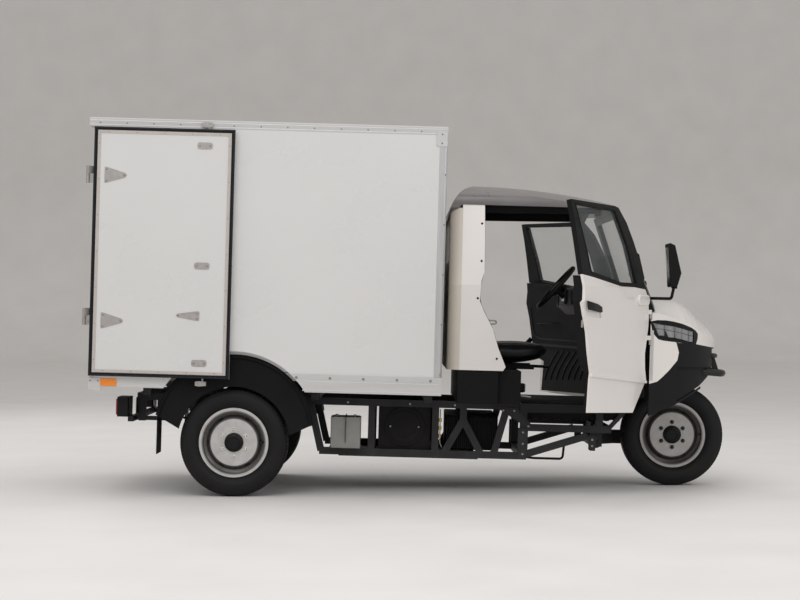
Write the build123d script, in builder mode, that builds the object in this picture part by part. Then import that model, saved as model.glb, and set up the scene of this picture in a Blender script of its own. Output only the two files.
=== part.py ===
"""Three-wheeled electric delivery vehicle: a box body behind a small open-doored cab, one front wheel.

Millimetres. The sprung body is drawn level, from a datum on the ground below the rear axle: +X forward,
+Y to the vehicle's left, +Z up. Nose-down rake is put on at the end, and the origin then moves to the
ground at mid length.
"""

import math
import os

from build123d import *

os.makedirs("parts", exist_ok=True)

# Stance
WHEELBASE = 2568.0
REAR_TRACK = 1380.0
RAKE = 1.6  # degrees, nose down

# Tyres, rims and hubs
TYRE_R = 304.0
TYRE_W = 172.0
RIM_R = 195.5  # over the flanges
SEAT_R = 178.0  # bead seat
RIM_W = 136.0
RIM_WALL = 6.0
DISC_R = 132.0  # flat part of the disc
DISC_BORE_R = 54.0
DISC_RECESS = 22.0  # disc face behind the flange edge
STUD_PCD = 150.0
STUD_R = 6.0
STUD_COUNT = 6
STUD_CLEAR = 1.4  # round the studs in the disc
HUB_FLANGE_R = 92.0
HUB_FLANGE_T = 12.0
SPINDLE_R = 22.0
SPINDLE_LENGTH = 26.0
RUNNING = 0.05  # radial clearance of a shaft in its bore
SEAT_GAP = 0.3  # gap between pieces that seat on each other

# Box body
BOX_FRONT = 1150.0
BOX_LENGTH = 1980.0
BOX_REAR = BOX_FRONT - BOX_LENGTH
BOX_HALF = 800.0
BOX_BOTTOM = 601.0
BEARERS = (BOX_REAR + 320, 440.0, 1080.0)
BOX_HEIGHT = 1508.0
PANEL = 30.0
SKIRT_H = 100.0
SKIRT_T = 12.0
TOP_RAIL_H = 48.0
ROOF_OVERHANG = 30.0  # over the closed rear leaves
REAR_FRAME = 34.0
POST_W = 45.0
ARCH_R = 470.0  # cut in the side panels over the rear wheels
FLOOR_T = 45.0

# Rear door leaves, closed position; they stand open by LEAF_SWING
LEAF_GAP = 5.0  # gasket face to rear frame, and half the gap between the leaves
LEAF_T = 30.0
LEAF_MARGIN = 10.0  # leaf edge inboard of the box side
LEAF_LOW = 61.0  # above the box bottom
LEAF_TOP = 55.0  # below the box top
LEAF_SWING = 270.0
HINGE_BACK = 23.5  # hinge pin behind the leaf's inner face
HINGE_OUT = 25.5  # hinge pin outboard of the box side
HINGE_KNUCKLE_R = 9.0
HINGE_PIN_R = 4.0
HINGE_H = 95.0
GASKET_W = 19.0
GASKET_T = 8.0
ROD_R = 5.0
ROD_IN = 150.0  # lock rod from the leaf's free edge

# Cab
CAB_REAR = 1180.0
CAB_HALF = 680.0
CAB_LEAN = 94.0  # how far the sides lean in, belt to roof
BELT_Z = 1230.0
ROOF_CROWN = 1828.0
CANT_Z = ROOF_CROWN - 138  # lower edge of the roof
CAB_CORNER_R = 70.0
CAB_SIDE_T = 34.0
REAR_WALL_T = 12.0
FLOOR_TOP = 562.0
SILL_BOTTOM = 512.0
SEAT_BOX_FRONT = 1606.0
SEAT_BOX_TOP = 746.0
SEAT_BOX_HALF = 632.0
SEAT_BOX_STEP = 1474.0  # wider behind this
CUSHION_LOW = 775.0
SEAT_BACK_X = 1262.0
ROOF_T = 20.0
REAR_WINDOW_W = 900.0

# Cab doors, closed position; the near one stands open by DOOR_OPEN, the far one by FAR_DOOR_OPEN
DOOR_HINGE_X = 2325.0
DOOR_OPEN = 61.0
FAR_DOOR_OPEN = 57.0
DOOR_GAP = 6.0
DOOR_SKIN = 16.0
DOOR_DEEP = 74.0
DOOR_HINGE_Z = (1090.0, 944.0)
DOOR_KNUCKLE_R = 8.0
DOOR_KNUCKLE_H = 26.0
PILLAR_Y = 625.0
DOOR_FRAME_T = 28.0
GLASS_T = 5.0

# Nose, bulkhead and front wheel arch
BULKHEAD_X = 2333.0
LINER_R = 360.0
LINER_T = 5.0
LINER_HALF = 300.0
PANEL_SEAM = 0.6
NOSE_HALF = 672.0
NOSE_TIP = 2797.0
SHELL_T = 8.0

rake = math.radians(RAKE)


def level(x, z):
    """Place on the unraked body of a point given over level ground."""
    return x * math.cos(rake) - z * math.sin(rake), x * math.sin(rake) + z * math.cos(rake)


def profile(points, mode=Mode.ADD):
    """Closed straight-sided outline."""
    Polygon(*points, align=None, mode=mode)


def arc_band(centre, outer_r, inner_r, start, end):
    """Curved strip between two radii and two angles, alone in its sketch."""
    with Locations(centre):
        Circle(outer_r)
        Circle(inner_r, mode=Mode.SUBTRACT)
    steps = [start + (end - start) * step / 4 for step in range(5)]
    reach = [
        (centre[0] + 2 * outer_r * math.cos(math.radians(a)), centre[1] + 2 * outer_r * math.sin(math.radians(a)))
        for a in steps
    ]
    profile([centre] + reach, Mode.INTERSECT)


pieces = {}


def keep(name, part, raked=True):
    """Files a finished piece under its name, tilted with the body unless it stands on the ground."""
    pieces[name] = Rot(0, RAKE, 0) * part if raked else part


def mirrored(part):
    """The same piece on the other side of the vehicle."""
    return mirror(part, about=Plane.XZ)


def both(part):
    """A piece and its mirror image, as one group of solids."""
    return Compound(children=part.solids() + mirrored(part).solids())


# Wheels: name, place along X, place along Y, side the disc faces
wheels = [
    ("rear_right", 0.0, -REAR_TRACK / 2, -1),
    ("rear_left", 0.0, REAR_TRACK / 2, 1),
    ("front", WHEELBASE, 0.0, -1),
]
flange_y = RIM_W / 2
disc_y = flange_y - DISC_RECESS
hub_back_y = disc_y - RIM_WALL - HUB_FLANGE_T
for wheel_name, wheel_x, wheel_y, facing in wheels:
    hub_plane = Plane(origin=(wheel_x, wheel_y, TYRE_R), x_dir=(1, 0, 0), z_dir=(0, 0, 1))
    spin = Axis((wheel_x, wheel_y, TYRE_R), (0, 1, 0))
    outward = Plane(origin=(wheel_x, wheel_y, TYRE_R), x_dir=(0, 0, 1), z_dir=(0, facing, 0))

    with BuildPart() as tyre:
        with BuildSketch(hub_plane):
            seat, bead = SEAT_R + SEAT_GAP, flange_y - 6 - SEAT_GAP
            with BuildLine():
                Line((seat, -bead), (seat, bead))
                Line((seat, bead), (RIM_R + 3, bead))
                ThreePointArc((RIM_R + 3, bead), (242, TYRE_W / 2), (288, TYRE_W / 2 - 16))
                ThreePointArc((288, TYRE_W / 2 - 16), (299, TYRE_W / 2 - 22), (TYRE_R - 1.5, TYRE_W / 2 - 34))
                ThreePointArc(
                    (TYRE_R - 1.5, TYRE_W / 2 - 34), (TYRE_R, 0), (TYRE_R - 1.5, -TYRE_W / 2 + 34)
                )
                ThreePointArc(
                    (TYRE_R - 1.5, -TYRE_W / 2 + 34), (299, -TYRE_W / 2 + 22), (288, -TYRE_W / 2 + 16)
                )
                ThreePointArc((288, -TYRE_W / 2 + 16), (242, -TYRE_W / 2), (RIM_R + 3, -bead))
                Line((RIM_R + 3, -bead), (seat, -bead))
            make_face()
        revolve(axis=spin)
    keep("tyre_" + wheel_name, tyre.part, raked=False)

    well_r = SEAT_R - 24
    with BuildPart() as rim:
        with BuildSketch(hub_plane):
            # Barrel with flanges and drop centre, as radius and distance towards the disc side
            barrel = [
                (RIM_R, flange_y),
                (RIM_R, flange_y - 5),
                (SEAT_R, flange_y - 6),
                (SEAT_R, 30),
                (well_r, 16),
                (well_r, -20),
                (SEAT_R, -34),
                (SEAT_R, -flange_y + 6),
                (RIM_R, -flange_y + 5),
                (RIM_R, -flange_y),
                (SEAT_R - RIM_WALL, -flange_y),
                (SEAT_R - RIM_WALL, -37),
                (well_r - RIM_WALL, -23),
                (well_r - RIM_WALL, 19),
                (SEAT_R - RIM_WALL, 33),
                (SEAT_R - RIM_WALL, flange_y),
            ]
            profile([(r, facing * y) for r, y in barrel])
            # Disc, from its bore out to the drop centre
            disc = [
                (DISC_BORE_R, disc_y),
                (DISC_R, disc_y),
                (DISC_R + 20, disc_y - 22),
                (well_r - RIM_WALL / 2, disc_y - 40),
                (well_r - RIM_WALL / 2, disc_y - 48),
                (DISC_R + 14, disc_y - 30),
                (DISC_R - 4, disc_y - RIM_WALL),
                (DISC_BORE_R, disc_y - RIM_WALL),
            ]
            profile([(r, facing * y) for r, y in disc])
        revolve(axis=spin)
        with BuildSketch(outward.offset(disc_y)):
            with PolarLocations(STUD_PCD / 2, STUD_COUNT):
                Circle(STUD_R + STUD_CLEAR)
        extrude(amount=-RIM_WALL * 2, mode=Mode.SUBTRACT)
        with BuildSketch(outward.offset(flange_y)):
            with PolarLocations(DISC_R + 14, STUD_COUNT, start_angle=30):
                SlotOverall(30, 11, rotation=90)
        extrude(amount=-RIM_W / 2, mode=Mode.SUBTRACT)
    keep("rim_" + wheel_name, rim.part, raked=False)

    with BuildPart() as hub:
        with BuildSketch(outward.offset(hub_back_y)):
            Circle(HUB_FLANGE_R)
        extrude(amount=HUB_FLANGE_T)
        with BuildSketch(outward.offset(hub_back_y)):
            Circle(DISC_BORE_R - 0.5)
        extrude(amount=disc_y - hub_back_y + 16)
        fillet(hub.edges().group_by(Axis.Y)[0 if facing < 0 else -1], 8)
        with BuildSketch(outward.offset(hub_back_y)):
            with PolarLocations(STUD_PCD / 2, STUD_COUNT):
                Circle(STUD_R)
        extrude(amount=HUB_FLANGE_T + RIM_WALL + 14)
        with BuildSketch(outward.offset(hub_back_y)):
            Circle(SPINDLE_R + RUNNING)
        extrude(amount=SPINDLE_LENGTH, mode=Mode.SUBTRACT)
    keep("hub_" + wheel_name, hub.part, raked=False)

# Chassis and suspension places; rail heights and widths are to the middle of square tube
TUBE = 40.0
RAIL_Y = 420.0
RAIL_TOP_Z = BOX_BOTTOM - TUBE / 2 - 45
RAIL_LOW_Z = 250.0
CHASSIS_REAR = BOX_REAR + 230
CHASSIS_STEP_X = 400.0
CHASSIS_BEND_X = 1640.0
BEAM_Z = 416.0
BEAM_FRONT = 2150.0
ARM_PIVOT_X = 2085.0
ARM_PIVOT_Z = 332.0
ARM_PIVOT_HALF = 205.0
ARM_PIN_R = 12.0
SPRING_W = 52.0
SPRING_LEAF = 9.0
SPRING_SEAT = 50.0  # underside above the axle's middle
SPRING_RISE = 52.0
SPRING_HALF = 360.0
EYE_R = 16.0
EYE_PIN_R = 7.0
HANGER_T = 6.0
TRAY_T = 3.0
GUSSET_T = 6.0
BATTERY_REAR = 800.0
BATTERY_FRONT = 1102.0
DISH_R = 112.0

# Rear axle: tube between the hubs with the drive unit in its middle
axle_x, axle_z = level(0, TYRE_R)
hub_x, hub_z = level(WHEELBASE, TYRE_R)
axle_end = REAR_TRACK / 2 + hub_back_y
with BuildPart() as rear_axle:
    with BuildSketch(Plane.XZ.offset(-(axle_end - 1))):
        with Locations((axle_x, axle_z)):
            Circle(38)
    extrude(amount=2 * (axle_end - 1))
    with BuildSketch(Plane.XZ.offset(-(axle_end + SPINDLE_LENGTH - 2))):
        with Locations((axle_x, axle_z)):
            Circle(SPINDLE_R)
    extrude(amount=2 * (axle_end + SPINDLE_LENGTH - 2))
    with BuildSketch(Plane.XZ.offset(-150)):
        with Locations((axle_x, axle_z)):
            Circle(105)
    extrude(amount=250)
    with BuildSketch(Plane.XZ.offset(80)):
        with Locations((axle_x + 120, axle_z + 20)):
            Circle(95)
    extrude(amount=180)
    for side in (-1, 1):
        with BuildSketch(Plane.XZ.offset(side * (axle_end - 24) - 16)):
            with Locations((axle_x, axle_z)):
                Circle(120)
        extrude(amount=32)
    # Pads under the springs
    for pad_y in (-RAIL_Y, RAIL_Y):
        with BuildSketch(Plane.XY.offset(axle_z)):
            with Locations((axle_x, pad_y)):
                Rectangle(90, SPRING_W)
        extrude(amount=SPRING_SEAT - SEAT_GAP)
keep("rear_axle", rear_axle.part)

# Chassis: two welded side ladders tied by cross tubes
spring_top = axle_z + SPRING_SEAT + 3 * SPRING_LEAF
eye_z = spring_top + SPRING_RISE - SPRING_LEAF / 2


def tube_run(start, end, y, size=TUBE):
    """A straight square tube between two points of a plane parallel to XZ."""
    (x0, z0), (x1, z1) = start, end
    length = math.hypot(x1 - x0, z1 - z0)
    along = Plane(origin=(x0, y, z0), x_dir=(0, 1, 0), z_dir=(x1 - x0, 0, z1 - z0))
    with BuildSketch(along) as section:
        Rectangle(size, size)
    extrude(section.sketch, amount=length)


def cross_tube(x, z, half, size=TUBE):
    """A square tube across the vehicle."""
    with BuildSketch(Plane.XZ.offset(-half)) as section:
        with Locations((x, z)):
            Rectangle(size, size)
    extrude(section.sketch, amount=2 * half)


# start x, start z, end x, end z of each member of a side ladder
side_members = [
    (CHASSIS_REAR, RAIL_TOP_Z, CHASSIS_BEND_X, RAIL_TOP_Z),
    (CHASSIS_STEP_X + 60, RAIL_LOW_Z, CHASSIS_BEND_X, RAIL_LOW_Z),
    (CHASSIS_BEND_X - 10, RAIL_LOW_Z + 2, 2010, BEAM_Z - 40),
    (CHASSIS_STEP_X, RAIL_TOP_Z, CHASSIS_STEP_X + 70, RAIL_LOW_Z),
    (760, RAIL_TOP_Z, 760, RAIL_LOW_Z),
    (1130, RAIL_TOP_Z, 1130, RAIL_LOW_Z),
    (1290, 450, 1180, RAIL_LOW_Z),
    (1290, 450, 1400, RAIL_LOW_Z),
    (1290, RAIL_TOP_Z, 1290, 440),
    (1545, RAIL_TOP_Z, 1470, RAIL_LOW_Z),
    (CHASSIS_BEND_X, RAIL_TOP_Z, CHASSIS_BEND_X, RAIL_LOW_Z),
    (CHASSIS_BEND_X, BEAM_Z, BEAM_FRONT, BEAM_Z),
    (2080, BEAM_Z, 2080, RAIL_TOP_Z + TUBE / 2),
]
with BuildPart() as chassis:
    for ladder_y in (-RAIL_Y, RAIL_Y):
        for x0, z0, x1, z1 in side_members:
            tube_run((x0, z0), (x1, z1), ladder_y)
    for cross_x, cross_z in [
        (CHASSIS_REAR + TUBE / 2, RAIL_TOP_Z),
        (CHASSIS_STEP_X, RAIL_TOP_Z),
        (760, RAIL_LOW_Z),
        (1130, RAIL_LOW_Z),
        (CHASSIS_BEND_X, RAIL_LOW_Z),
        (CHASSIS_BEND_X, RAIL_TOP_Z),
        (BEAM_FRONT - TUBE / 2, BEAM_Z),
        (ARM_PIVOT_X, BEAM_Z),
    ]:
        cross_tube(cross_x, cross_z, RAIL_Y + TUBE / 2)
    # Rear posts and low rear cross member
    for post_y in (-RAIL_Y, RAIL_Y):
        tube_run((CHASSIS_REAR + 30, RAIL_TOP_Z), (CHASSIS_REAR + 30, 395), post_y)
        tube_run((CHASSIS_REAR - 30, 410), (CHASSIS_REAR + 195, 410), post_y, 24)
    cross_tube(CHASSIS_REAR - 20, 410, 560, 30)
    # Belly plate with its two feet
    with BuildSketch(Plane.XY.offset(RAIL_LOW_Z - TUBE / 2 - 6)):
        with Locations(((573 + 1380) / 2, 0)):
            Rectangle(1380 - 573, 2 * RAIL_Y + TUBE)
    extrude(amount=6)
    # Plates that hold the front arm's pivot
    for plate_y in (-ARM_PIVOT_HALF - 18, ARM_PIVOT_HALF + 6):
        with BuildSketch(Plane.XZ.offset(-plate_y)):
            with Locations((ARM_PIVOT_X, (ARM_PIVOT_Z + BEAM_Z) / 2)):
                Rectangle(70, BEAM_Z - ARM_PIVOT_Z + 60)
            with Locations((ARM_PIVOT_X, ARM_PIVOT_Z)):
                Circle(ARM_PIN_R + RUNNING, mode=Mode.SUBTRACT)
        extrude(amount=-12)
    # Pointed gussets below the cab sills
    for gusset_y in (-RAIL_Y - TUBE / 2, RAIL_Y + TUBE / 2 + GUSSET_T):
        with BuildSketch(Plane.XZ.offset(-gusset_y)):
            profile([(1478, 530), (1600, 530), (1708, 410), (1700, 402), (1660, 416), (1500, 516)])
        extrude(amount=GUSSET_T)
    # Stays up to the bulkhead behind the nose
    for stay_y in (-RAIL_Y, RAIL_Y):
        tube_run((2130, BEAM_Z), (BULKHEAD_X - 16, 628), stay_y, 24)
        with BuildSketch(Plane.YZ.offset(BULKHEAD_X - SEAT_GAP)):
            with Locations((stay_y, 640)):
                Rectangle(70, 60)
        extrude(amount=-8)
    # Hangers and pins at the spring eyes
    for eye_x, hanger_y in [(axle_x + i * SPRING_HALF, j * RAIL_Y) for i in (-1, 1) for j in (-1, 1)]:
        with BuildSketch(Plane.XY.offset(RAIL_TOP_Z - TUBE / 2)):
            with Locations((eye_x, hanger_y)):
                Rectangle(44, SPRING_W + 2 * HANGER_T + 2 * SEAT_GAP)
        extrude(amount=-HANGER_T)
        for cheek in (-1, 1):
            cheek_y = hanger_y + cheek * (SPRING_W / 2 + SEAT_GAP + HANGER_T / 2)
            with BuildSketch(Plane.XY.offset(eye_z - EYE_R)):
                with Locations((eye_x, cheek_y)):
                    Rectangle(44, HANGER_T)
            extrude(amount=RAIL_TOP_Z - TUBE / 2 - eye_z + EYE_R)
        with BuildSketch(Plane.XZ.offset(-hanger_y - SPRING_W / 2 - HANGER_T)):
            with Locations((eye_x, eye_z)):
                Circle(EYE_PIN_R)
        extrude(amount=SPRING_W + 2 * HANGER_T)
    # Tray of the low-voltage battery
    with BuildSketch(Plane.XY.offset(RAIL_LOW_Z + TUBE / 2)):
        with Locations((612, -RAIL_Y)):
            Rectangle(190, 196)
    extrude(amount=TRAY_T)
    # Outriggers that carry the box
    for rigger_x in BEARERS:
        cross_tube(rigger_x, BOX_BOTTOM - 22.5, 700, 45)
keep("chassis_frame", chassis.part)

# Leaf springs over the axle, with an eye at each end of the top leaf
with BuildPart() as spring:
    for leaf_index, half_length in enumerate((SPRING_HALF, 0.75 * SPRING_HALF, 0.5 * SPRING_HALF)):
        leaf_z = spring_top - SPRING_LEAF * leaf_index
        rise = SPRING_RISE * (half_length / SPRING_HALF) ** 2
        with BuildSketch(Plane.XZ.offset(RAIL_Y - SPRING_W / 2)):
            with BuildLine():
                upper = ThreePointArc(
                    (axle_x - half_length, leaf_z + rise), (axle_x, leaf_z), (axle_x + half_length, leaf_z + rise)
                )
                low_z = leaf_z - SPRING_LEAF
                lower = ThreePointArc(
                    (axle_x - half_length, low_z + rise), (axle_x, low_z), (axle_x + half_length, low_z + rise)
                )
                Line(upper @ 0, lower @ 0)
                Line(upper @ 1, lower @ 1)
            make_face()
        extrude(amount=SPRING_W)
    for end in (-1, 1):
        with BuildSketch(Plane.XZ.offset(RAIL_Y - SPRING_W / 2)):
            with Locations((axle_x + end * SPRING_HALF, eye_z)):
                Circle(EYE_R)
        extrude(amount=SPRING_W)
        with BuildSketch(Plane.XZ.offset(RAIL_Y - SPRING_W / 2)):
            with Locations((axle_x + end * SPRING_HALF, eye_z)):
                Circle(EYE_PIN_R + SEAT_GAP)
        extrude(amount=SPRING_W, mode=Mode.SUBTRACT)
keep("leaf_springs", both(spring.part))

# Traction battery box between the ladders, and the low-voltage battery on its tray
with BuildPart() as battery_box:
    with BuildSketch(Plane.XY.offset(RAIL_LOW_Z + TUBE / 2 + SEAT_GAP)):
        with Locations(((BATTERY_REAR + BATTERY_FRONT) / 2, 0)):
            Rectangle(BATTERY_FRONT - BATTERY_REAR, 2 * (RAIL_Y - TUBE / 2 - SEAT_GAP))
    extrude(amount=RAIL_TOP_Z - RAIL_LOW_Z - TUBE - 4)
    for side in (-1, 1):
        face_y = side * (RAIL_Y - TUBE / 2 - SEAT_GAP)
        # Round dished cover with a ring and a sunk middle
        dish = Plane(origin=((BATTERY_REAR + BATTERY_FRONT) / 2, face_y, 400), x_dir=(1, 0, 0), z_dir=(0, side, 0))
        with BuildSketch(dish):
            Circle(DISH_R)
        extrude(amount=14)
        with BuildSketch(dish.offset(14)):
            Circle(DISH_R - 12)
            Circle(DISH_R - 20, mode=Mode.SUBTRACT)
            Circle(DISH_R / 2 + 4)
        extrude(amount=-5, mode=Mode.SUBTRACT)
keep("battery_box", battery_box.part)

with BuildPart() as service_battery:
    with BuildSketch(Plane.XY.offset(RAIL_LOW_Z + TUBE / 2 + TRAY_T + SEAT_GAP)):
        with Locations((612, -RAIL_Y)):
            Rectangle(172, 180)
    extrude(amount=178)
    fillet(service_battery.edges().filter_by(Axis.Z), 8)
keep("service_battery", service_battery.part)

# Rear wheel arches with mudflaps
FENDER_R = 440.0
FENDER_T = 5.0
FENDER_OUT = BOX_HALF - 10
FENDER_WALL_R = 330.0
FENDER_IN = 585.0
WHEELBOX_GAP = 8.0
WHEELBOX_T = 4.0
FENDER_END = 168.0  # degrees up from the front, where the mudflap hangs
arch_x, arch_z = level(0, TYRE_R + 45)
with BuildPart() as fender:
    with BuildSketch(Plane.XZ.offset(FENDER_IN)):
        arc_band((arch_x, arch_z), FENDER_R, FENDER_R - FENDER_T, 8, FENDER_END)
    extrude(amount=FENDER_OUT - FENDER_IN)
    # Wall on the inner side of the arch
    with BuildSketch(Plane.XZ.offset(FENDER_IN)):
        arc_band((arch_x, arch_z), FENDER_R - FENDER_T / 2, FENDER_WALL_R, 8, FENDER_END)
    extrude(amount=WHEELBOX_T)
    # Spacers up to the wheel box
    for spacer in (60, 90, 120):
        with BuildSketch(Plane.XZ.offset(FENDER_IN + 60)):
            arc_band((arch_x, arch_z), FENDER_R + WHEELBOX_GAP - SEAT_GAP, FENDER_R - 1, spacer - 3, spacer + 3)
        extrude(amount=40)
    # Mudflap hung from the rear end
    flap_x = arch_x + (FENDER_R - FENDER_T / 2) * math.cos(math.radians(FENDER_END))
    flap_z = arch_z + (FENDER_R - FENDER_T / 2) * math.sin(math.radians(FENDER_END))
    with BuildSketch(Plane.XZ.offset(FENDER_IN + 10)):
        with Locations((flap_x, flap_z + 4)):
            Rectangle(FENDER_T, 214, align=(Align.CENTER, Align.MAX))
    extrude(amount=FENDER_OUT - FENDER_IN - 20)
keep("rear_fenders", both(fender.part))

# Tail lamps at the rear corners of the chassis
with BuildPart() as tail_lamp:
    with BuildSketch(Plane.XY.offset(425 + SEAT_GAP)):
        with Locations((CHASSIS_REAR - 56, -540)):
            Rectangle(66, 180)
    extrude(amount=112)
    fillet(tail_lamp.edges().filter_by(Axis.Z), 10)
keep("tail_lamps", both(tail_lamp.part))

# Box body
box_top = BOX_BOTTOM + BOX_HEIGHT
wall_low = BOX_BOTTOM + SKIRT_H - 40
rail_low = box_top - TOP_RAIL_H
with BuildPart() as box_floor:
    with BuildSketch(Plane.XY.offset(wall_low)):
        with Locations(((BOX_REAR + REAR_FRAME + BOX_FRONT - POST_W) / 2, 0)):
            Rectangle(BOX_LENGTH - REAR_FRAME - POST_W - 2 * SEAT_GAP, 2 * (BOX_HALF - PANEL - SEAT_GAP))
        with Locations((BOX_FRONT - POST_W, 0)):
            Rectangle(2 * (POST_W - PANEL - SEAT_GAP), 2 * (BOX_HALF - POST_W - SEAT_GAP))
    extrude(amount=FLOOR_T)
    # Bearers that sit on the chassis outriggers
    for bearer_x in BEARERS:
        with BuildSketch(Plane.XY.offset(BOX_BOTTOM + SEAT_GAP)):
            with Locations((bearer_x, 0)):
                Rectangle(45, 2 * (BOX_HALF - PANEL - 10))
        extrude(amount=wall_low - BOX_BOTTOM)
    # Wheel boxes are cut through the floor's edge
    for side in (-1, 1):
        with BuildSketch(Plane(origin=(arch_x, side * (FENDER_IN - WHEELBOX_GAP), arch_z), z_dir=(0, side, 0))):
            Circle(FENDER_R + WHEELBOX_GAP)
        extrude(amount=BOX_HALF, mode=Mode.SUBTRACT)
    # Arched wheel boxes stand up through the floor
    with BuildPart(mode=Mode.ADD):
        with BuildSketch(Plane.XZ.offset(FENDER_IN - WHEELBOX_GAP - WHEELBOX_T)):
            with Locations((arch_x, arch_z)):
                Circle(FENDER_R + WHEELBOX_GAP + WHEELBOX_T)
        extrude(amount=BOX_HALF - PANEL - FENDER_IN + WHEELBOX_GAP + WHEELBOX_T - 1)
        with BuildSketch(Plane.XZ.offset(FENDER_IN - WHEELBOX_GAP)):
            with Locations((arch_x, arch_z)):
                Circle(FENDER_R + WHEELBOX_GAP)
        extrude(amount=BOX_HALF, mode=Mode.SUBTRACT)
        split(bisect_by=Plane.XY.offset(wall_low + FLOOR_T / 2), keep=Keep.TOP)
        mirror(about=Plane.XZ)
keep("box_floor", box_floor.part)

with BuildPart() as box_side:
    with BuildSketch(Plane.XZ.offset(BOX_HALF - PANEL)):
        side_x0, side_x1 = BOX_REAR + REAR_FRAME, BOX_FRONT - POST_W
        with Locations(((side_x0 + side_x1) / 2, (wall_low + rail_low) / 2)):
            Rectangle(side_x1 - side_x0 - 2 * SEAT_GAP, rail_low - wall_low - 2 * SEAT_GAP)
        with Locations((arch_x, arch_z)):
            Circle(ARCH_R, mode=Mode.SUBTRACT)
    extrude(amount=PANEL - SEAT_GAP)
keep("box_sides", both(box_side.part))

with BuildPart() as box_skirt:
    with BuildSketch(Plane.XZ.offset(BOX_HALF)):
        with Locations(((BOX_REAR + REAR_FRAME + BOX_FRONT) / 2, BOX_BOTTOM + SKIRT_H / 2)):
            Rectangle(BOX_LENGTH - REAR_FRAME - 2 * SEAT_GAP, SKIRT_H)
        with Locations((arch_x, arch_z)):
            Circle(ARCH_R, mode=Mode.SUBTRACT)
    extrude(amount=SKIRT_T)
    with BuildSketch(Plane.XZ.offset(BOX_HALF - PANEL)):
        with Locations(((BOX_REAR + REAR_FRAME + BOX_FRONT) / 2, (BOX_BOTTOM + wall_low - SEAT_GAP) / 2)):
            Rectangle(BOX_LENGTH - REAR_FRAME - 2 * SEAT_GAP, wall_low - BOX_BOTTOM - SEAT_GAP)
        with Locations((arch_x, arch_z)):
            Circle(ARCH_R, mode=Mode.SUBTRACT)
    extrude(amount=PANEL)
keep("box_skirts", both(box_skirt.part))

with BuildPart() as box_front_wall:
    with BuildSketch(Plane.YZ.offset(BOX_FRONT - PANEL)):
        with Locations((0, (wall_low + rail_low) / 2)):
            Rectangle(2 * (BOX_HALF - POST_W - SEAT_GAP), rail_low - wall_low - 2 * SEAT_GAP)
    extrude(amount=PANEL)
keep("box_front_wall", box_front_wall.part)

with BuildPart() as corner_post:
    with BuildSketch(Plane.XY.offset(wall_low)):
        with Locations((BOX_FRONT - POST_W / 2, -BOX_HALF + POST_W / 2 + SEAT_GAP / 2)):
            Rectangle(POST_W, POST_W - SEAT_GAP)
    extrude(amount=rail_low - SEAT_GAP - wall_low)
    fillet(corner_post.edges().filter_by(Axis.Z).sort_by(Axis.X)[-2:].sort_by(Axis.Y)[0], 18)
keep("corner_posts", both(corner_post.part))

with BuildPart() as box_roof:
    with BuildSketch(Plane.XY.offset(rail_low)):
        with Locations(((BOX_REAR - ROOF_OVERHANG + BOX_FRONT) / 2, 0)):
            Rectangle(BOX_LENGTH + ROOF_OVERHANG, 2 * BOX_HALF)
    extrude(amount=TOP_RAIL_H)
    fillet(box_roof.edges().group_by(Axis.Z)[-1], 8)
    with BuildSketch(Plane.XY.offset(rail_low)):
        with Locations(((BOX_REAR + BOX_FRONT) / 2, 0)):
            Rectangle(BOX_LENGTH - 2 * REAR_FRAME, 2 * (BOX_HALF - PANEL))
    extrude(amount=TOP_RAIL_H - PANEL, mode=Mode.SUBTRACT)
keep("box_roof", box_roof.part)

with BuildPart() as box_rear_frame:
    with BuildSketch(Plane.YZ.offset(BOX_REAR)):
        with Locations((0, (BOX_BOTTOM + rail_low - SEAT_GAP) / 2)):
            Rectangle(2 * BOX_HALF, rail_low - SEAT_GAP - BOX_BOTTOM)
        with Locations((0, (wall_low + FLOOR_T + rail_low - 20) / 2)):
            Rectangle(2 * (BOX_HALF - POST_W), rail_low - 20 - wall_low - FLOOR_T, mode=Mode.SUBTRACT)
    extrude(amount=REAR_FRAME)
keep("box_rear_frame", box_rear_frame.part)

# Rear door leaves, drawn closed and then swung open about their hinge pins
leaf_face = BOX_REAR - LEAF_GAP
leaf_pin = (leaf_face - HINGE_BACK, -BOX_HALF - HINGE_OUT)
leaf_low = BOX_BOTTOM + LEAF_LOW
leaf_high = box_top - LEAF_TOP
leaf_edge, leaf_free = -BOX_HALF + LEAF_MARGIN, -LEAF_GAP
leaf_mid_y = (leaf_edge + leaf_free) / 2
leaf_mid_z = (leaf_low + leaf_high) / 2
leaf_wide, leaf_tall = leaf_free - leaf_edge, leaf_high - leaf_low


def swung(part, pin, angle):
    """A piece turned about an upright pin, counter-clockwise from above."""
    return Location((pin[0], pin[1], 0)) * Rot(0, 0, angle) * Location((-pin[0], -pin[1], 0)) * part


with BuildPart() as leaf_panel:
    with BuildSketch(Plane.YZ.offset(leaf_face - LEAF_T)):
        with Locations((leaf_mid_y, leaf_mid_z)):
            Rectangle(leaf_wide, leaf_tall)
    extrude(amount=LEAF_T - GASKET_T)
    with BuildSketch(Plane.YZ.offset(leaf_face - GASKET_T)):
        with Locations((leaf_mid_y, leaf_mid_z)):
            Rectangle(leaf_wide - 2 * GASKET_W - 1, leaf_tall - 2 * GASKET_W - 1)
    extrude(amount=GASKET_T - 2)
with BuildPart() as leaf_gasket:
    with BuildSketch(Plane.YZ.offset(leaf_face - GASKET_T)):
        with Locations((leaf_mid_y, leaf_mid_z)):
            Rectangle(leaf_wide, leaf_tall)
            Rectangle(leaf_wide - 2 * GASKET_W, leaf_tall - 2 * GASKET_W, mode=Mode.SUBTRACT)
    extrude(amount=GASKET_T)
rod_y = leaf_free - ROD_IN
rod_x = leaf_face - LEAF_T - ROD_R - 1
hinge_heights = (leaf_low + 330, leaf_high - 268)
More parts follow.
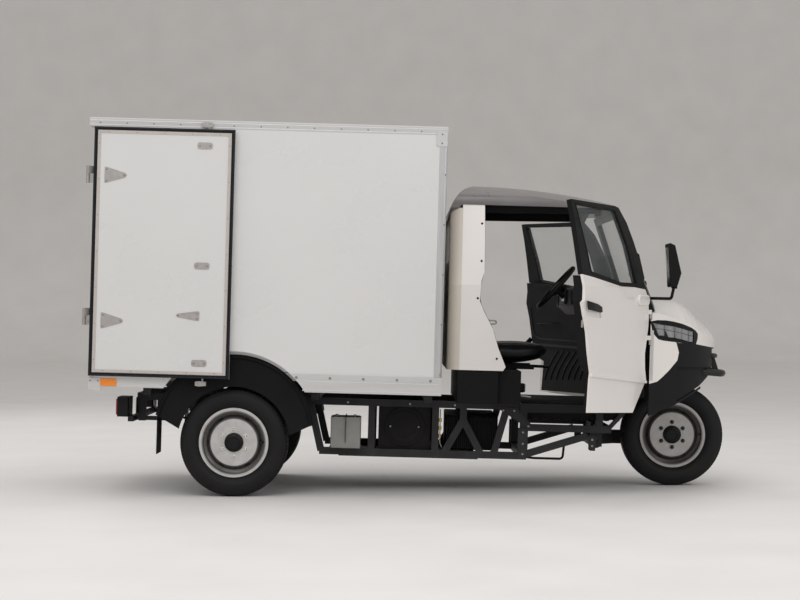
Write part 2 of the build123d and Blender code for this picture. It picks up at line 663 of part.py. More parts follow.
with BuildPart() as leaf_hardware:
    with BuildSketch(Plane.XY.offset(leaf_low - 42)):
        with Locations((rod_x, rod_y)):
            Circle(ROD_R)
    extrude(amount=leaf_tall + 80)
    for guide_z in (leaf_low + 62, leaf_mid_z - 10, leaf_high - 62):
        with BuildSketch(Plane.YZ.offset(leaf_face - LEAF_T)):
            with Locations((rod_y, guide_z)):
                Rectangle(84, 40)
        extrude(amount=-2 * ROD_R - 3)
    with BuildSketch(Plane.YZ.offset(leaf_face - LEAF_T)):
        with Locations((rod_y + 50, leaf_low + 340)):
            Rectangle(170, 30)
    extrude(amount=-2 * ROD_R - 3)
    for hinge_z in hinge_heights:
        with BuildSketch(Plane.XY.offset(hinge_z - HINGE_H / 2)):
            with Locations(leaf_pin):
                Circle(HINGE_KNUCKLE_R)
            with BuildLine():
                Polyline(
                    (leaf_pin[0], leaf_pin[1] - HINGE_KNUCKLE_R),
                    (leaf_face - LEAF_T - 4, leaf_pin[1] - HINGE_KNUCKLE_R),
                    (leaf_face - LEAF_T - 4, leaf_edge + 120),
                    (leaf_face - LEAF_T, leaf_edge + 120),
                    (leaf_face - LEAF_T, leaf_pin[1] + 3),
                    (leaf_pin[0], leaf_pin[1] + 3),
                    close=True,
                )
            make_face()
        extrude(amount=HINGE_H * 0.55)
        with BuildSketch(Plane.XY.offset(hinge_z - HINGE_H / 2)):
            with Locations(leaf_pin):
                Circle(HINGE_PIN_R + RUNNING)
        extrude(amount=HINGE_H * 0.55, mode=Mode.SUBTRACT)
leaf_sets = [
    ("rear_leaf", leaf_panel.part),
    ("leaf_gasket", leaf_gasket.part),
    ("leaf_hardware", leaf_hardware.part),
]
for leaf_name, leaf_piece in leaf_sets:
    opened = swung(leaf_piece, leaf_pin, LEAF_SWING)
    keep(leaf_name + "_right", opened)
    keep(leaf_name + "_left", mirrored(opened))

# Fixed halves of the rear hinges, with their pins
with BuildPart() as hinge_post:
    for hinge_z in hinge_heights:
        with BuildSketch(Plane.XY.offset(hinge_z + HINGE_H * 0.05 + 1)):
            with Locations(leaf_pin):
                Circle(HINGE_KNUCKLE_R)
            with BuildLine():
                Polyline(
                    (leaf_pin[0], leaf_pin[1] + HINGE_KNUCKLE_R),
                    (leaf_pin[0], leaf_pin[1] - 2),
                    (leaf_pin[0] + 12, leaf_pin[1] - 2),
                    (BOX_REAR + 6, -BOX_HALF - SEAT_GAP - 6),
                    (BOX_REAR + 30, -BOX_HALF - SEAT_GAP - 6),
                    (BOX_REAR + 30, -BOX_HALF - SEAT_GAP),
                    (BOX_REAR, -BOX_HALF - SEAT_GAP),
                    close=True,
                )
            make_face()
        extrude(amount=HINGE_H * 0.45 - 1)
        with BuildSketch(Plane.XY.offset(hinge_z - HINGE_H / 2)):
            with Locations(leaf_pin):
                Circle(HINGE_PIN_R)
        extrude(amount=HINGE_H)

# Cab door hinges: knuckles on an upright pin, one half on the bulkhead pillar and one on the door
door_pin = (DOOR_HINGE_X, -CAB_HALF)
with BuildPart() as body_half:
    for knuckle_z in DOOR_HINGE_Z:
        with BuildSketch(Plane.XY.offset(knuckle_z - DOOR_KNUCKLE_H)):
            with Locations(door_pin):
                Circle(DOOR_KNUCKLE_R)
            profile(
                [
                    (DOOR_HINGE_X, -CAB_HALF),
                    (BULKHEAD_X - SEAT_GAP, -CAB_HALF),
                    (BULKHEAD_X - SEAT_GAP, -PILLAR_Y + 15),
                    (BULKHEAD_X - SEAT_GAP - 4, -PILLAR_Y + 15),
                    (BULKHEAD_X - SEAT_GAP - 4, -CAB_HALF + 12),
                    (DOOR_HINGE_X, -CAB_HALF + 8),
                ]
            )
        extrude(amount=DOOR_KNUCKLE_H - 1)
        with BuildSketch(Plane.XY.offset(knuckle_z - DOOR_KNUCKLE_H)):
            with Locations(door_pin):
                Circle(HINGE_PIN_R)
        extrude(amount=2 * DOOR_KNUCKLE_H)
body_halves = hinge_post.part.solids() + body_half.part.solids()
keep("hinge_posts", Compound(children=body_halves + [mirrored(half) for half in body_halves]))

# Cab side form: section of the side skin, as height and distance from the middle
side_line = [
    (SILL_BOTTOM, CAB_HALF - 24),
    (770, CAB_HALF - 6),
    (1050, CAB_HALF),
    (BELT_Z, CAB_HALF - 2),
    (CANT_Z, CAB_HALF - CAB_LEAN),
]


def side_skin(x0, x1, depth, inset=0.0, mode=Mode.ADD):
    """Right-hand side skin between two stations, inset and depth measured inwards."""
    with BuildSketch(Plane.YZ.offset(x0)) as section:
        outer = [(-(y - inset), z) for z, y in side_line]
        inner = [(-(y - inset - depth), z) for z, y in reversed(side_line)]
        profile(outer + inner)
    extrude(section.sketch, amount=x1 - x0, mode=mode)


# Front edge of the fixed side panel behind the door, from the roof down
panel_edge = [
    (1375, CANT_Z),
    (1380, 1483),
    (1380, 1305),
    (1364, 1256),
    (1358, 1140),
    (1384, 1080),
    (1436, 985),
    (1468, 880),
    (1514, 770),
]
# Door outline: rear edge, lower edge and front edge, closed position
door_rear = [(1386, 1289), (1396, 1210), (1393, 1155)] + [(x + DOOR_GAP, z) for x, z in panel_edge[4:9]]
door_low = [(1518, 727), (1529, 558), (2174, 537), (2318, 705)]
door_front = [(2280, 782), (2268, 869), (2283, 934), (2300, 1020), (2302, 1090), (2294, 1180), (2243, BELT_Z)]
door_belt = [(2071, 1239), (1895, 1238), (1514, 1279)]
door_outline = door_rear + door_low + door_front + door_belt

with BuildPart() as cab_side:
    side_skin(CAB_REAR + CAB_CORNER_R, 1530, CAB_SIDE_T)
    with BuildSketch(Plane.XZ):
        profile(
            [(CAB_REAR + CAB_CORNER_R, CANT_Z - SEAT_GAP)]
            + [(x, min(z, CANT_Z - SEAT_GAP)) for x, z in panel_edge]
            + [(1500, SEAT_BOX_TOP + SEAT_GAP), (CAB_REAR + CAB_CORNER_R, SEAT_BOX_TOP + SEAT_GAP)]
        )
    extrude(amount=CAB_HALF + 10, mode=Mode.INTERSECT)
    # Rebate that the door skin closes into
    with BuildPart(mode=Mode.SUBTRACT):
        side_skin(1300, 1560, DOOR_SKIN + DOOR_GAP + 1, -1)
        with BuildSketch(Plane.XZ):
            profile(door_outline)
            offset(amount=DOOR_GAP, kind=Kind.INTERSECTION)
        extrude(amount=CAB_HALF + 10, mode=Mode.INTERSECT)
keep("cab_sides", both(cab_side.part))

# Cab roof: a crown arched both ways, crossed with the side profile and the rounded section, hollow below
ROOF_HALF = CAB_HALF - CAB_LEAN + 4
ROOF_FRONT = 2200.0
ROOF_HEADER_X = 2040.0
ROOF_TOP_X = 1340.0
ROOF_LIP_Z = ROOF_CROWN - 222
ROOF_KNEE = 88.0  # rear bend of the profile, below the crown
ROOF_LONG_R = 3788.0
ROOF_WIDE_R = 2440.0
ROOF_SHOULDER = 46.0  # end of the side's rounding, below the crown
ROOF_WIDE = 900.0


def roof_form(inset, mode):
    """Solid under the roof's outer surface, moved inwards by inset."""
    with BuildPart(mode=Mode.PRIVATE) as form:
        crown_z = ROOF_CROWN - inset
        edge_z = crown_z - ROOF_WIDE_R + math.sqrt(ROOF_WIDE_R**2 - ROOF_WIDE**2)
        with BuildSketch(Plane.YZ.offset(ROOF_TOP_X)) as crown:
            with BuildLine():
                ThreePointArc((-ROOF_WIDE, edge_z), (0, crown_z), (ROOF_WIDE, edge_z))
                low_z = CANT_Z - 400
                Polyline((ROOF_WIDE, edge_z), (ROOF_WIDE, low_z), (-ROOF_WIDE, low_z), (-ROOF_WIDE, edge_z))
            make_face()
        extrude(amount=CAB_REAR - 40 - ROOF_TOP_X)
        revolve(crown.sketch, axis=Axis((ROOF_TOP_X, 0, ROOF_CROWN - ROOF_LONG_R), (0, 1, 0)), revolution_arc=16)
        with BuildSketch(Plane.XZ.offset(-ROOF_HALF)):
            with BuildLine():
                lip_z = ROOF_LIP_Z + 2 * min(inset, 0)
                front_x = ROOF_FRONT if inset <= 0 else ROOF_HEADER_X
                rear_up = ThreePointArc(
                    (CAB_REAR - 13 + inset, lip_z),
                    (1216 + inset, ROOF_CROWN - ROOF_KNEE),
                    (ROOF_TOP_X + inset, crown_z),
                )
                Polyline(
                    rear_up @ 1,
                    (ROOF_TOP_X + 60, crown_z + 20),
                    (front_x, crown_z + 20),
                    (front_x, CANT_Z),
                    (CAB_REAR + 66 + abs(inset), CANT_Z),
                    rear_up @ 0,
                )
            make_face()
        extrude(amount=2 * ROOF_HALF, mode=Mode.INTERSECT)
        with BuildSketch(Plane.YZ.offset(CAB_REAR - 20)):
            half = ROOF_HALF - inset
            shoulder_z = crown_z - ROOF_SHOULDER
            with BuildLine():
                foot_z, wall_z, inner = CANT_Z - 100, CANT_Z + 10, half - 90
                Polyline((-half + 120, foot_z), (half - 120, foot_z), (half, CANT_Z - 20), (half, wall_z))
                ThreePointArc((half, wall_z), (half - 22, shoulder_z - 26), (inner, shoulder_z))
                Polyline((inner, shoulder_z), (inner, crown_z + 50), (-inner, crown_z + 50), (-inner, shoulder_z))
                ThreePointArc((-inner, shoulder_z), (-half + 22, shoulder_z - 26), (-half, wall_z))
                Polyline((-half, wall_z), (-half, CANT_Z - 20), (-half + 120, foot_z))
            make_face()
        extrude(amount=ROOF_FRONT - CAB_REAR + 40, mode=Mode.INTERSECT)
    add(form.part, mode=mode)


window_z = (BELT_Z + CANT_Z) / 2 + 20
window_h = (CANT_Z - BELT_Z) / 2
with BuildPart() as cab_rear_wall:
    wall_half = CAB_HALF - 3
    for low_z, high_z, low_in, high_in in [
        (SEAT_BOX_TOP + SEAT_GAP, BELT_Z, 0, 0),
        (BELT_Z, CANT_Z - 20, 0, CAB_LEAN - 4),
    ]:
        for grown in (0, REAR_WALL_T):
            for station, narrower in ((low_z, low_in), (high_z, high_in)):
                with BuildSketch(Plane.XY.offset(station)):
                    half = wall_half - narrower - grown
                    back = CAB_REAR + grown
                    front_x = CAB_REAR + CAB_CORNER_R - SEAT_GAP
                    bend = CAB_CORNER_R - SEAT_GAP - grown
                    with BuildLine():
                        Line((front_x, -half), (front_x, half))
                        RadiusArc((front_x, half), (back, half - bend), -bend)
                        Line((back, half - bend), (back, -half + bend))
                        RadiusArc((back, -half + bend), (front_x, -half), -bend)
                    make_face()
            loft(ruled=True, mode=Mode.SUBTRACT if grown else Mode.ADD)
    with BuildSketch(Plane.YZ.offset(CAB_REAR - 5)):
        with Locations((0, window_z)):
            RectangleRounded(REAR_WINDOW_W, window_h, 40)
    extrude(amount=40, mode=Mode.SUBTRACT)
    roof_form(-1, Mode.SUBTRACT)
keep("cab_rear_wall", cab_rear_wall.part)

with BuildPart() as rear_window:
    with BuildSketch(Plane.YZ.offset(CAB_REAR + 2)):
        with Locations((0, window_z)):
            RectangleRounded(REAR_WINDOW_W - 1, window_h - 1, 39.5)
    extrude(amount=GLASS_T)
keep("rear_window", rear_window.part)

# Cab floor with its sills and the toe board up to the cowl
CAB_FLOOR_HALF = 628.0
TOE_BOARD_HALF = 578.0
TOE_BOARD_TOP = 1098.0
CAB_FLOOR_T = FLOOR_TOP - RAIL_TOP_Z - TUBE / 2 - SEAT_GAP
SILL_W = 70.0
with BuildPart() as cab_floor:
    floor_low = FLOOR_TOP - CAB_FLOOR_T
    with BuildSketch(Plane.XZ.offset(-CAB_FLOOR_HALF)):
        profile(
            [
                (SEAT_BOX_FRONT + SEAT_GAP, FLOOR_TOP),
                (SEAT_BOX_FRONT + SEAT_GAP, floor_low),
                (2150, floor_low),
                (2150, FLOOR_TOP),
            ]
        )
    extrude(amount=2 * CAB_FLOOR_HALF)
    with BuildSketch(Plane.XZ.offset(-TOE_BOARD_HALF)):
        profile(
            [
                (2120, FLOOR_TOP),
                (2120, floor_low),
                (2150, floor_low),
                (2200, 640),
                (2284, 1076),
                (BULKHEAD_X - SEAT_GAP, 1086),
                (BULKHEAD_X - SEAT_GAP, TOE_BOARD_TOP),
                (2270, TOE_BOARD_TOP),
                (2182, 655),
                (2142, FLOOR_TOP),
            ]
        )
    extrude(amount=2 * TOE_BOARD_HALF)
    for sill_y in (-CAB_FLOOR_HALF + SILL_W, CAB_FLOOR_HALF):
        with BuildSketch(Plane.XZ.offset(-sill_y)):
            profile(
                [
                    (SEAT_BOX_FRONT + SEAT_GAP, FLOOR_TOP),
                    (SEAT_BOX_FRONT + SEAT_GAP, SILL_BOTTOM),
                    (2150, SILL_BOTTOM + 8),
                    (2170, FLOOR_TOP),
                ]
            )
        extrude(amount=SILL_W)
keep("cab_floor", cab_floor.part)

with BuildPart() as seat_base:
    seat_box_rear, seat_box_low = CAB_REAR + 64, FLOOR_TOP - CAB_FLOOR_T
    with BuildSketch(Plane.XY.offset(seat_box_low)):
        with Locations(((seat_box_rear + SEAT_BOX_FRONT) / 2, 0)):
            Rectangle(SEAT_BOX_FRONT - seat_box_rear, 2 * SEAT_BOX_HALF)
        with Locations(((seat_box_rear + SEAT_BOX_STEP) / 2, 0)):
            Rectangle(SEAT_BOX_STEP - seat_box_rear, 2 * (CAB_HALF - 14))
    extrude(amount=SEAT_BOX_TOP - seat_box_low)
    with BuildSketch(Plane.XY.offset(seat_box_low)):
        with Locations(((seat_box_rear + SEAT_BOX_FRONT) / 2, 0)):
            Rectangle(SEAT_BOX_FRONT - seat_box_rear - 24, 2 * SEAT_BOX_HALF - 24)
    extrude(amount=SEAT_BOX_TOP - seat_box_low - 10, mode=Mode.SUBTRACT)
    # Slides under the cushion
    for slide_y in (-170, 170):
        with BuildSketch(Plane.XY.offset(SEAT_BOX_TOP)):
            with Locations((SEAT_BOX_FRONT - 66, slide_y)):
                Rectangle(340, 30)
        extrude(amount=CUSHION_LOW - SEAT_BOX_TOP - SEAT_GAP)
    # Struts behind the backrest
    for strut_y in (-150, 150):
        with BuildSketch(Plane.XY.offset(SEAT_BOX_TOP - 1)):
            with Locations((SEAT_BACK_X - SEAT_GAP, strut_y)):
                Rectangle(10, 40, align=(Align.MAX, Align.CENTER))
        extrude(amount=360)
keep("seat_base", seat_base.part)


# Windscreen and its surround: one curved band, leaning back
SCREEN_LOW = (2312.0, 1214.0)
SCREEN_TOP = (2120.0, CANT_Z - 4)
SCREEN_HALF = 640.0
SCREEN_TAPER = 0.2  # drawn in on each side, per height
SCREEN_BOW = 62.0
SCREEN_BORDER = 48.0
SURROUND_T = 26.0
SCREEN_SKIRT = 112.0
screen_rise = math.hypot(SCREEN_TOP[0] - SCREEN_LOW[0], SCREEN_TOP[1] - SCREEN_LOW[1])
screen_radius = (SCREEN_HALF**2 + SCREEN_BOW**2) / (2 * SCREEN_BOW)
screen_plane = Plane(
    origin=(SCREEN_LOW[0], 0, SCREEN_LOW[1]),
    x_dir=(0, 1, 0),
    z_dir=(SCREEN_TOP[0] - SCREEN_LOW[0], 0, SCREEN_TOP[1] - SCREEN_LOW[1]),
)


def screen_band(half, thickness, behind, low, high, mode=Mode.ADD):
    """Bowed band across the cab, narrower towards the roof, between two distances up the screen."""
    middle = behind - SCREEN_BOW
    ends = middle + screen_radius - math.sqrt(screen_radius**2 - half**2)
    with BuildPart(mode=Mode.PRIVATE) as band:
        with BuildSketch(screen_plane.offset(low)):
            with BuildLine():
                front = ThreePointArc((-half, ends), (0, middle), (half, ends))
                rear = ThreePointArc((-half, ends + thickness), (0, middle + thickness), (half, ends + thickness))
                Line(front @ 0, rear @ 0)
                Line(front @ 1, rear @ 1)
            make_face()
        extrude(amount=high - low)
        base_z, peak_z = SCREEN_LOW[1], SCREEN_TOP[1] + 400
        narrow = half - SCREEN_TAPER * (peak_z - base_z)
        with BuildSketch(Plane.YZ.offset(SCREEN_TOP[0] - 900)):
            profile([(-half, 400), (half, 400), (half, base_z), (narrow, peak_z), (-narrow, peak_z), (-half, base_z)])
        extrude(amount=1800, mode=Mode.INTERSECT)
    add(band.part, mode=mode)


with BuildPart() as cab_roof:
    roof_form(0, Mode.ADD)
    roof_form(ROOF_T, Mode.SUBTRACT)
    # The front edge follows the windscreen
    screen_band(800, 400, -400, -100, screen_rise + 300, Mode.SUBTRACT)
    screen_band(800, SURROUND_T + 1 + SEAT_GAP, -1, -100, screen_rise + SEAT_GAP, Mode.SUBTRACT)
keep("cab_roof", cab_roof.part)

with BuildPart() as windscreen_frame:
    screen_band(SCREEN_HALF, SURROUND_T, 0, -SCREEN_SKIRT, screen_rise)
    screen_band(
        SCREEN_HALF - SCREEN_BORDER, SURROUND_T + 60, -30, SCREEN_BORDER, screen_rise - SCREEN_BORDER, Mode.SUBTRACT
    )

with BuildPart() as windscreen:
    screen_band(
        SCREEN_HALF - SCREEN_BORDER - SEAT_GAP,
        GLASS_T,
        2,
        SCREEN_BORDER + SEAT_GAP,
        screen_rise - SCREEN_BORDER - SEAT_GAP,
    )
keep("windscreen", windscreen.part)

# Nose: plan outline crossed with a side profile and a crowned top, cut into its panels
nose_side = [
    (2325, 1250),
    (2800, 1250),
    (2800, 940),
    (2783, 906),
    (2748, 898),
    (2752, 800),
    (2768, 742),
    (2668, 667),
    (2519, 589),
    (2323, 512),
]
# Sections of the crowned top: station, height in the middle, half width, drop at that width
nose_crown = [
    (2280, 1181, 760, 98),
    (2383, 1178, 730, 101),
    (2480, 1178, 700, 149),
    (2544, 1176, 650, 174),
    (2586, 1159, 600, 177),
    (2629, 1128, 550, 171),
    (2667, 1089, 500, 152),
    (2719, 1046, 420, 136),
    (2757, 1014, 350, 122),
    (2802, 940, 200, 64),
]


def crown_form(inset):
    """Solid under the crowned top of the nose, lowered by inset."""
    with BuildPart() as crown:
        for station, middle_z, half, drop in nose_crown:
            top_z = middle_z - inset
            with BuildSketch(Plane.YZ.offset(station)):
                with BuildLine():
                    ThreePointArc((-half, top_z - drop), (0, top_z), (half, top_z - drop))
                    Polyline((half, top_z - drop), (half, 300), (-half, 300), (-half, top_z - drop))
                make_face()
        loft(ruled=True)
    return crown.part


def nose_form(inset):
    """Solid under the nose's outer surface, moved inwards by inset and open behind and below."""
    with BuildPart() as form:
        with BuildSketch(Plane.XY.offset(400)):
            with BuildLine():
                bow = ThreePointArc((2330, -NOSE_HALF + inset), (NOSE_TIP - inset, 0), (2330, NOSE_HALF - inset))
                Line(bow @ 0, bow @ 1)
            make_face()
        extrude(amount=900)
        with BuildSketch(Plane.XZ.offset(-NOSE_HALF)):
            profile(nose_side)
            if inset:
                offset(amount=-inset, kind=Kind.INTERSECTION)
            if inset > 0:
                open_x = 2340 + inset
                profile([(2300, 1250 - inset), (open_x, 1250 - inset), (open_x, 470), (2300, 470)])
                profile([(2300, 470), (2340, 560), (2519, 600), (2668, 680), (2700, 560)])
        extrude(amount=2 * NOSE_HALF, mode=Mode.INTERSECT)
        add(crown_form(inset), mode=Mode.INTERSECT)
    return form.part


# Depths below the outer surface: panel thickness, lamp cells, floor and back of the lamp trays, lower shroud
CELL_DROP = 6.0
CELL_DEEP = 26.0
TRAY_FLOOR = CELL_DEEP + SEAT_GAP
TRAY_BACK = 36.0
SHROUD_TUCK = 20.0
SHROUD_DEEP = SHROUD_TUCK + SHELL_T
panel_depths = (-SEAT_GAP, 0.0, SHELL_T, SHROUD_TUCK, SHROUD_DEEP)
lamp_depths = (CELL_DROP, CELL_DEEP, TRAY_FLOOR, TRAY_BACK)
nose_at = {depth: nose_form(depth) for depth in panel_depths + lamp_depths}

with BuildPart() as lower_trimmed:
    add(windscreen_frame.part)
    add(nose_at[-SEAT_GAP], mode=Mode.SUBTRACT)
keep("windscreen_frame", lower_trimmed.part)


def nose_shell(outer, inner, outline, clear_of=(), mode=Mode.ADD):
    """The nose between two depths, inside a side-view outline and clear of others."""
    with BuildPart(mode=Mode.PRIVATE) as shell:
        add(nose_at[outer])
        add(nose_at[inner], mode=Mode.SUBTRACT)
        with BuildSketch(Plane.XZ.offset(-NOSE_HALF - 10)):
            profile(outline)
            for other in clear_of:
                add(other, mode=Mode.SUBTRACT)
        extrude(amount=2 * NOSE_HALF + 20, mode=Mode.INTERSECT)
    add(shell.part, mode=mode)


# Side-view outlines of the lamp surround and of the opening for its cells
lamp_outline = [
    (2328, 1051),
    (2370, 1059),
    (2422, 1059),
    (2471, 1053),
    (2525, 1042),
    (2587, 1021),
    (2616, 1004),
    (2632, 987),
    (2631, 959),
    (2621, 927),
    (2529, 933),
    (2474, 938),
    (2414, 943),
    (2377, 951),
    (2354, 975),
    (2339, 1002),
]
cells_outline = [
    (2343, 1045),
    (2415, 1037),
    (2479, 1030),
    (2524, 1020),
    (2567, 1009),
    (2604, 1002),
    (2604, 934),
    (2567, 938),
    (2524, 948),
    (2479, 957),
    (2439, 961),
    (2415, 968),
    (2380, 970),
    (2356, 1013),
]
# Cells of the lamp cluster: three edges between five columns, as top, split and foot
cell_tops = [(2343, 1043), (2415, 1033), (2479, 1026), (2524, 1016), (2567, 1005), (2600, 999)]
cell_splits = [(2360, 1013), (2416, 1007), (2480, 996), (2525, 989), (2568, 977), (2601, 973)]
cell_feet = [
    ((2380, 972), (2414, 971)),
    ((2440, 963), (2479, 960)),
    ((2481, 960), (2524, 952)),
    ((2525, 952), (2567, 941)),
    ((2568, 941), (2600, 937)),
]
CELL_GAP = 3.0


def pillar_pair(grown, mode):
    """Upright pillars of the bulkhead, which carry the cab doors."""
    with BuildSketch(Plane.XY.offset(690)) as section:
        with Locations((BULKHEAD_X + 12, -PILLAR_Y), (BULKHEAD_X + 12, PILLAR_Y)):
            Rectangle(24 + 2 * grown, 46 + 2 * grown)
    extrude(section.sketch, amount=1170 - 690, mode=mode)


with BuildPart() as lamp_cells:
    for column in range(len(cell_feet)):
        upper = [cell_tops[column], cell_tops[column + 1], cell_splits[column + 1], cell_splits[column]]
        lower = [cell_splits[column], cell_splits[column + 1], cell_feet[column][1], cell_feet[column][0]]
        for cell in (upper, lower):
            with BuildPart(mode=Mode.PRIVATE) as lamp_cell:
                add(nose_at[CELL_DROP])
                add(nose_at[CELL_DEEP], mode=Mode.SUBTRACT)
                with BuildSketch(Plane.XZ.offset(-NOSE_HALF - 10)):
                    profile(cell)
                    offset(amount=-CELL_GAP / 2, kind=Kind.INTERSECTION)
                extrude(amount=2 * NOSE_HALF + 20, mode=Mode.INTERSECT)
            add(lamp_cell.part)
    pillar_pair(SEAT_GAP, Mode.SUBTRACT)
with BuildPart() as lamp_trays:
    nose_shell(0.0, TRAY_BACK, lamp_outline)
    nose_shell(-SEAT_GAP, TRAY_FLOOR, cells_outline, mode=Mode.SUBTRACT)
    pillar_pair(SEAT_GAP, Mode.SUBTRACT)

# Panels of the nose as side-view outlines
fender_outline = [
    (2300, 1056),
    (2370, 1054),
    (2420, 960),
    (2490, 933),
    (2508, 878),
    (2500, 833),
    (2450, 776),
    (2407, 735),
    (2377, 710),
    (2329, 697),
    (2300, 695),
]
hood_outline = [
    (2300, 1300),
    (2900, 1300),
    (2900, 904),
    (2783, 904),
    (2733, 910),
    (2621, 927),
    (2500, 934),
    (2400, 1000),
    (2300, 1040),
]
shroud_outline = [(2300, 1000), (2400, 960), (2500, 960), (2900, 960), (2900, 400), (2300, 400)]
SHROUD_CREASE_Z = 793.0
# Each panel is cut clear of those before it in this list
nose_panels = [
    ("lamp_trays", lamp_outline, None),
    ("front_fenders", fender_outline, SHELL_T),
    ("hood", hood_outline, SHELL_T),
    ("front_shroud", shroud_outline, SHROUD_DEEP),
]
nose_parts = {}
earlier = []
for panel_name, panel_outline, panel_deep in nose_panels:
    with BuildPart() as nose_panel:
        if panel_deep:
            nose_shell(0.0, panel_deep, panel_outline, earlier)
        else:
            add(lamp_trays.part)
        for knuckle_z, side in [(z, side) for z in DOOR_HINGE_Z for side in (-1, 1)]:
            with BuildSketch(Plane.XY.offset(knuckle_z - DOOR_KNUCKLE_H - 3)):
                with Locations((DOOR_HINGE_X, side * CAB_HALF)):
                    Rectangle(24, 60)
            extrude(amount=2 * DOOR_KNUCKLE_H + 6, mode=Mode.SUBTRACT)
    nose_parts[panel_name] = nose_panel.part
    with BuildSketch() as grown:
        profile(panel_outline)
        offset(amount=PANEL_SEAM, kind=Kind.INTERSECTION)
    earlier.append(grown.sketch)

# Bull bars, upper and lower: half width, height at the front, front, height and place of the feet, tube radius
bars = [
    (250.0, 858.0, 2780.0, 866.0, 2690.0, 14.0),
    (280.0, 757.0, 2820.0, 766.0, 2680.0, 20.0),
]
LINK_Y = 120.0
LINK_T = 8.0


def bar_tube(bar, extra=0.0, mode=Mode.ADD):
    """One bent tube round the front, its feet inside the shroud."""
    half, front_z, front_x, foot_z, foot_x, radius = bar
    with BuildLine() as path:
        FilletPolyline(
            (foot_x, -half - 40, foot_z),
            (front_x - 20, -half, front_z),
            (front_x, -half + 60, front_z),
            (front_x, half - 60, front_z),
            (front_x - 20, half, front_z),
            (foot_x, half + 40, foot_z),
            radius=45,
        )
    with BuildSketch(Plane(origin=path.line @ 0, z_dir=path.line % 0)) as ring:
        Circle(radius + extra)
    sweep(sections=ring.sketch, path=path.line, mode=mode)


with BuildPart() as bull_bars:
    for bar in bars:
        bar_tube(bar)
    # Upright plates that tie the two bars
    for link_y in (-LINK_Y, LINK_Y + LINK_T):
        with BuildSketch(Plane.XZ.offset(-link_y)):
            profile([(2772, bars[0][1]), (2784, bars[0][1]), (2818, bars[1][1]), (2772, bars[1][1])])
        extrude(amount=LINK_T)
keep("bull_bars", bull_bars.part)
with BuildPart() as front_shroud:
    add(nose_parts["front_shroud"])
    # Thin above its side crease, and tucked in below it
    shelf_z = SHROUD_CREASE_Z + SHELL_T
    above_crease = [(2350, shelf_z), (2350, 1000), (2900, 1000), (2900, shelf_z)]
    below_crease = [(2500, SHROUD_CREASE_Z), (2900, SHROUD_CREASE_Z), (2900, 560), (2500, 560)]
    nose_shell(SHELL_T, SHROUD_DEEP, above_crease, mode=Mode.SUBTRACT)
    nose_shell(-SEAT_GAP, SHROUD_TUCK, below_crease, mode=Mode.SUBTRACT)
    pillar_pair(SEAT_GAP, Mode.SUBTRACT)
    for bar in bars:
        bar_tube(bar, 0.5, Mode.SUBTRACT)
    # Open below for the steered wheel
    with BuildSketch(Plane.XZ.offset(-LINER_HALF)):
        with Locations((hub_x, hub_z)):
            Circle(TYRE_R + 31)
    extrude(amount=2 * LINER_HALF, mode=Mode.SUBTRACT)
keep("front_shroud", front_shroud.part)
for panel_name in ("hood", "lamp_trays", "front_fenders"):
    keep(panel_name, nose_parts[panel_name])
keep("headlamps", lamp_cells.part)

# Bulkhead behind the nose, with the pillars that carry the cab doors
COWL_HALF = 650.0
COWL_LOW = 1085.0
BULKHEAD_HALF = 638.0
BULKHEAD_LOW = 600.0
BULKHEAD_TOP = 1187.0
BULKHEAD_T = 6.0
with BuildPart() as bulkhead:
    with BuildSketch(Plane.YZ.offset(BULKHEAD_X)):
        with Locations((0, (BULKHEAD_LOW + BULKHEAD_TOP) / 2)):
            Rectangle(2 * BULKHEAD_HALF, BULKHEAD_TOP - BULKHEAD_LOW)
    extrude(amount=BULKHEAD_T)
    with BuildSketch(Plane.XZ.offset(-LINER_HALF - SEAT_GAP)):
        with Locations((hub_x, hub_z)):
            Circle(LINER_R + SEAT_GAP)
    extrude(amount=2 * (LINER_HALF + SEAT_GAP), mode=Mode.SUBTRACT)
    pillar_pair(0.0, Mode.ADD)
    # Cowl in front of the windscreen's foot, level with the nose
    with BuildSketch(Plane.XZ.offset(-COWL_HALF)):
        cowl_front = BULKHEAD_X + BULKHEAD_T
        profile([(2286, COWL_LOW), (cowl_front, COWL_LOW), (cowl_front, BULKHEAD_TOP), (2286, BULKHEAD_TOP)])
    extrude(amount=2 * COWL_HALF)
    add(crown_form(SHELL_T + SEAT_GAP), mode=Mode.INTERSECT)
    screen_band(800, 300 + SURROUND_T, -SEAT_GAP, -SCREEN_SKIRT - 60, 400, Mode.SUBTRACT)
keep("cab_bulkhead", bulkhead.part)

# Front arch liner over the wheel
with BuildPart() as arch_liner:
    with BuildSketch(Plane.XZ.offset(-LINER_HALF)):
        arc_band((hub_x, hub_z), LINER_R, LINER_R - LINER_T, 80, 160)
    extrude(amount=2 * LINER_HALF)
keep("front_arch", arch_liner.part)

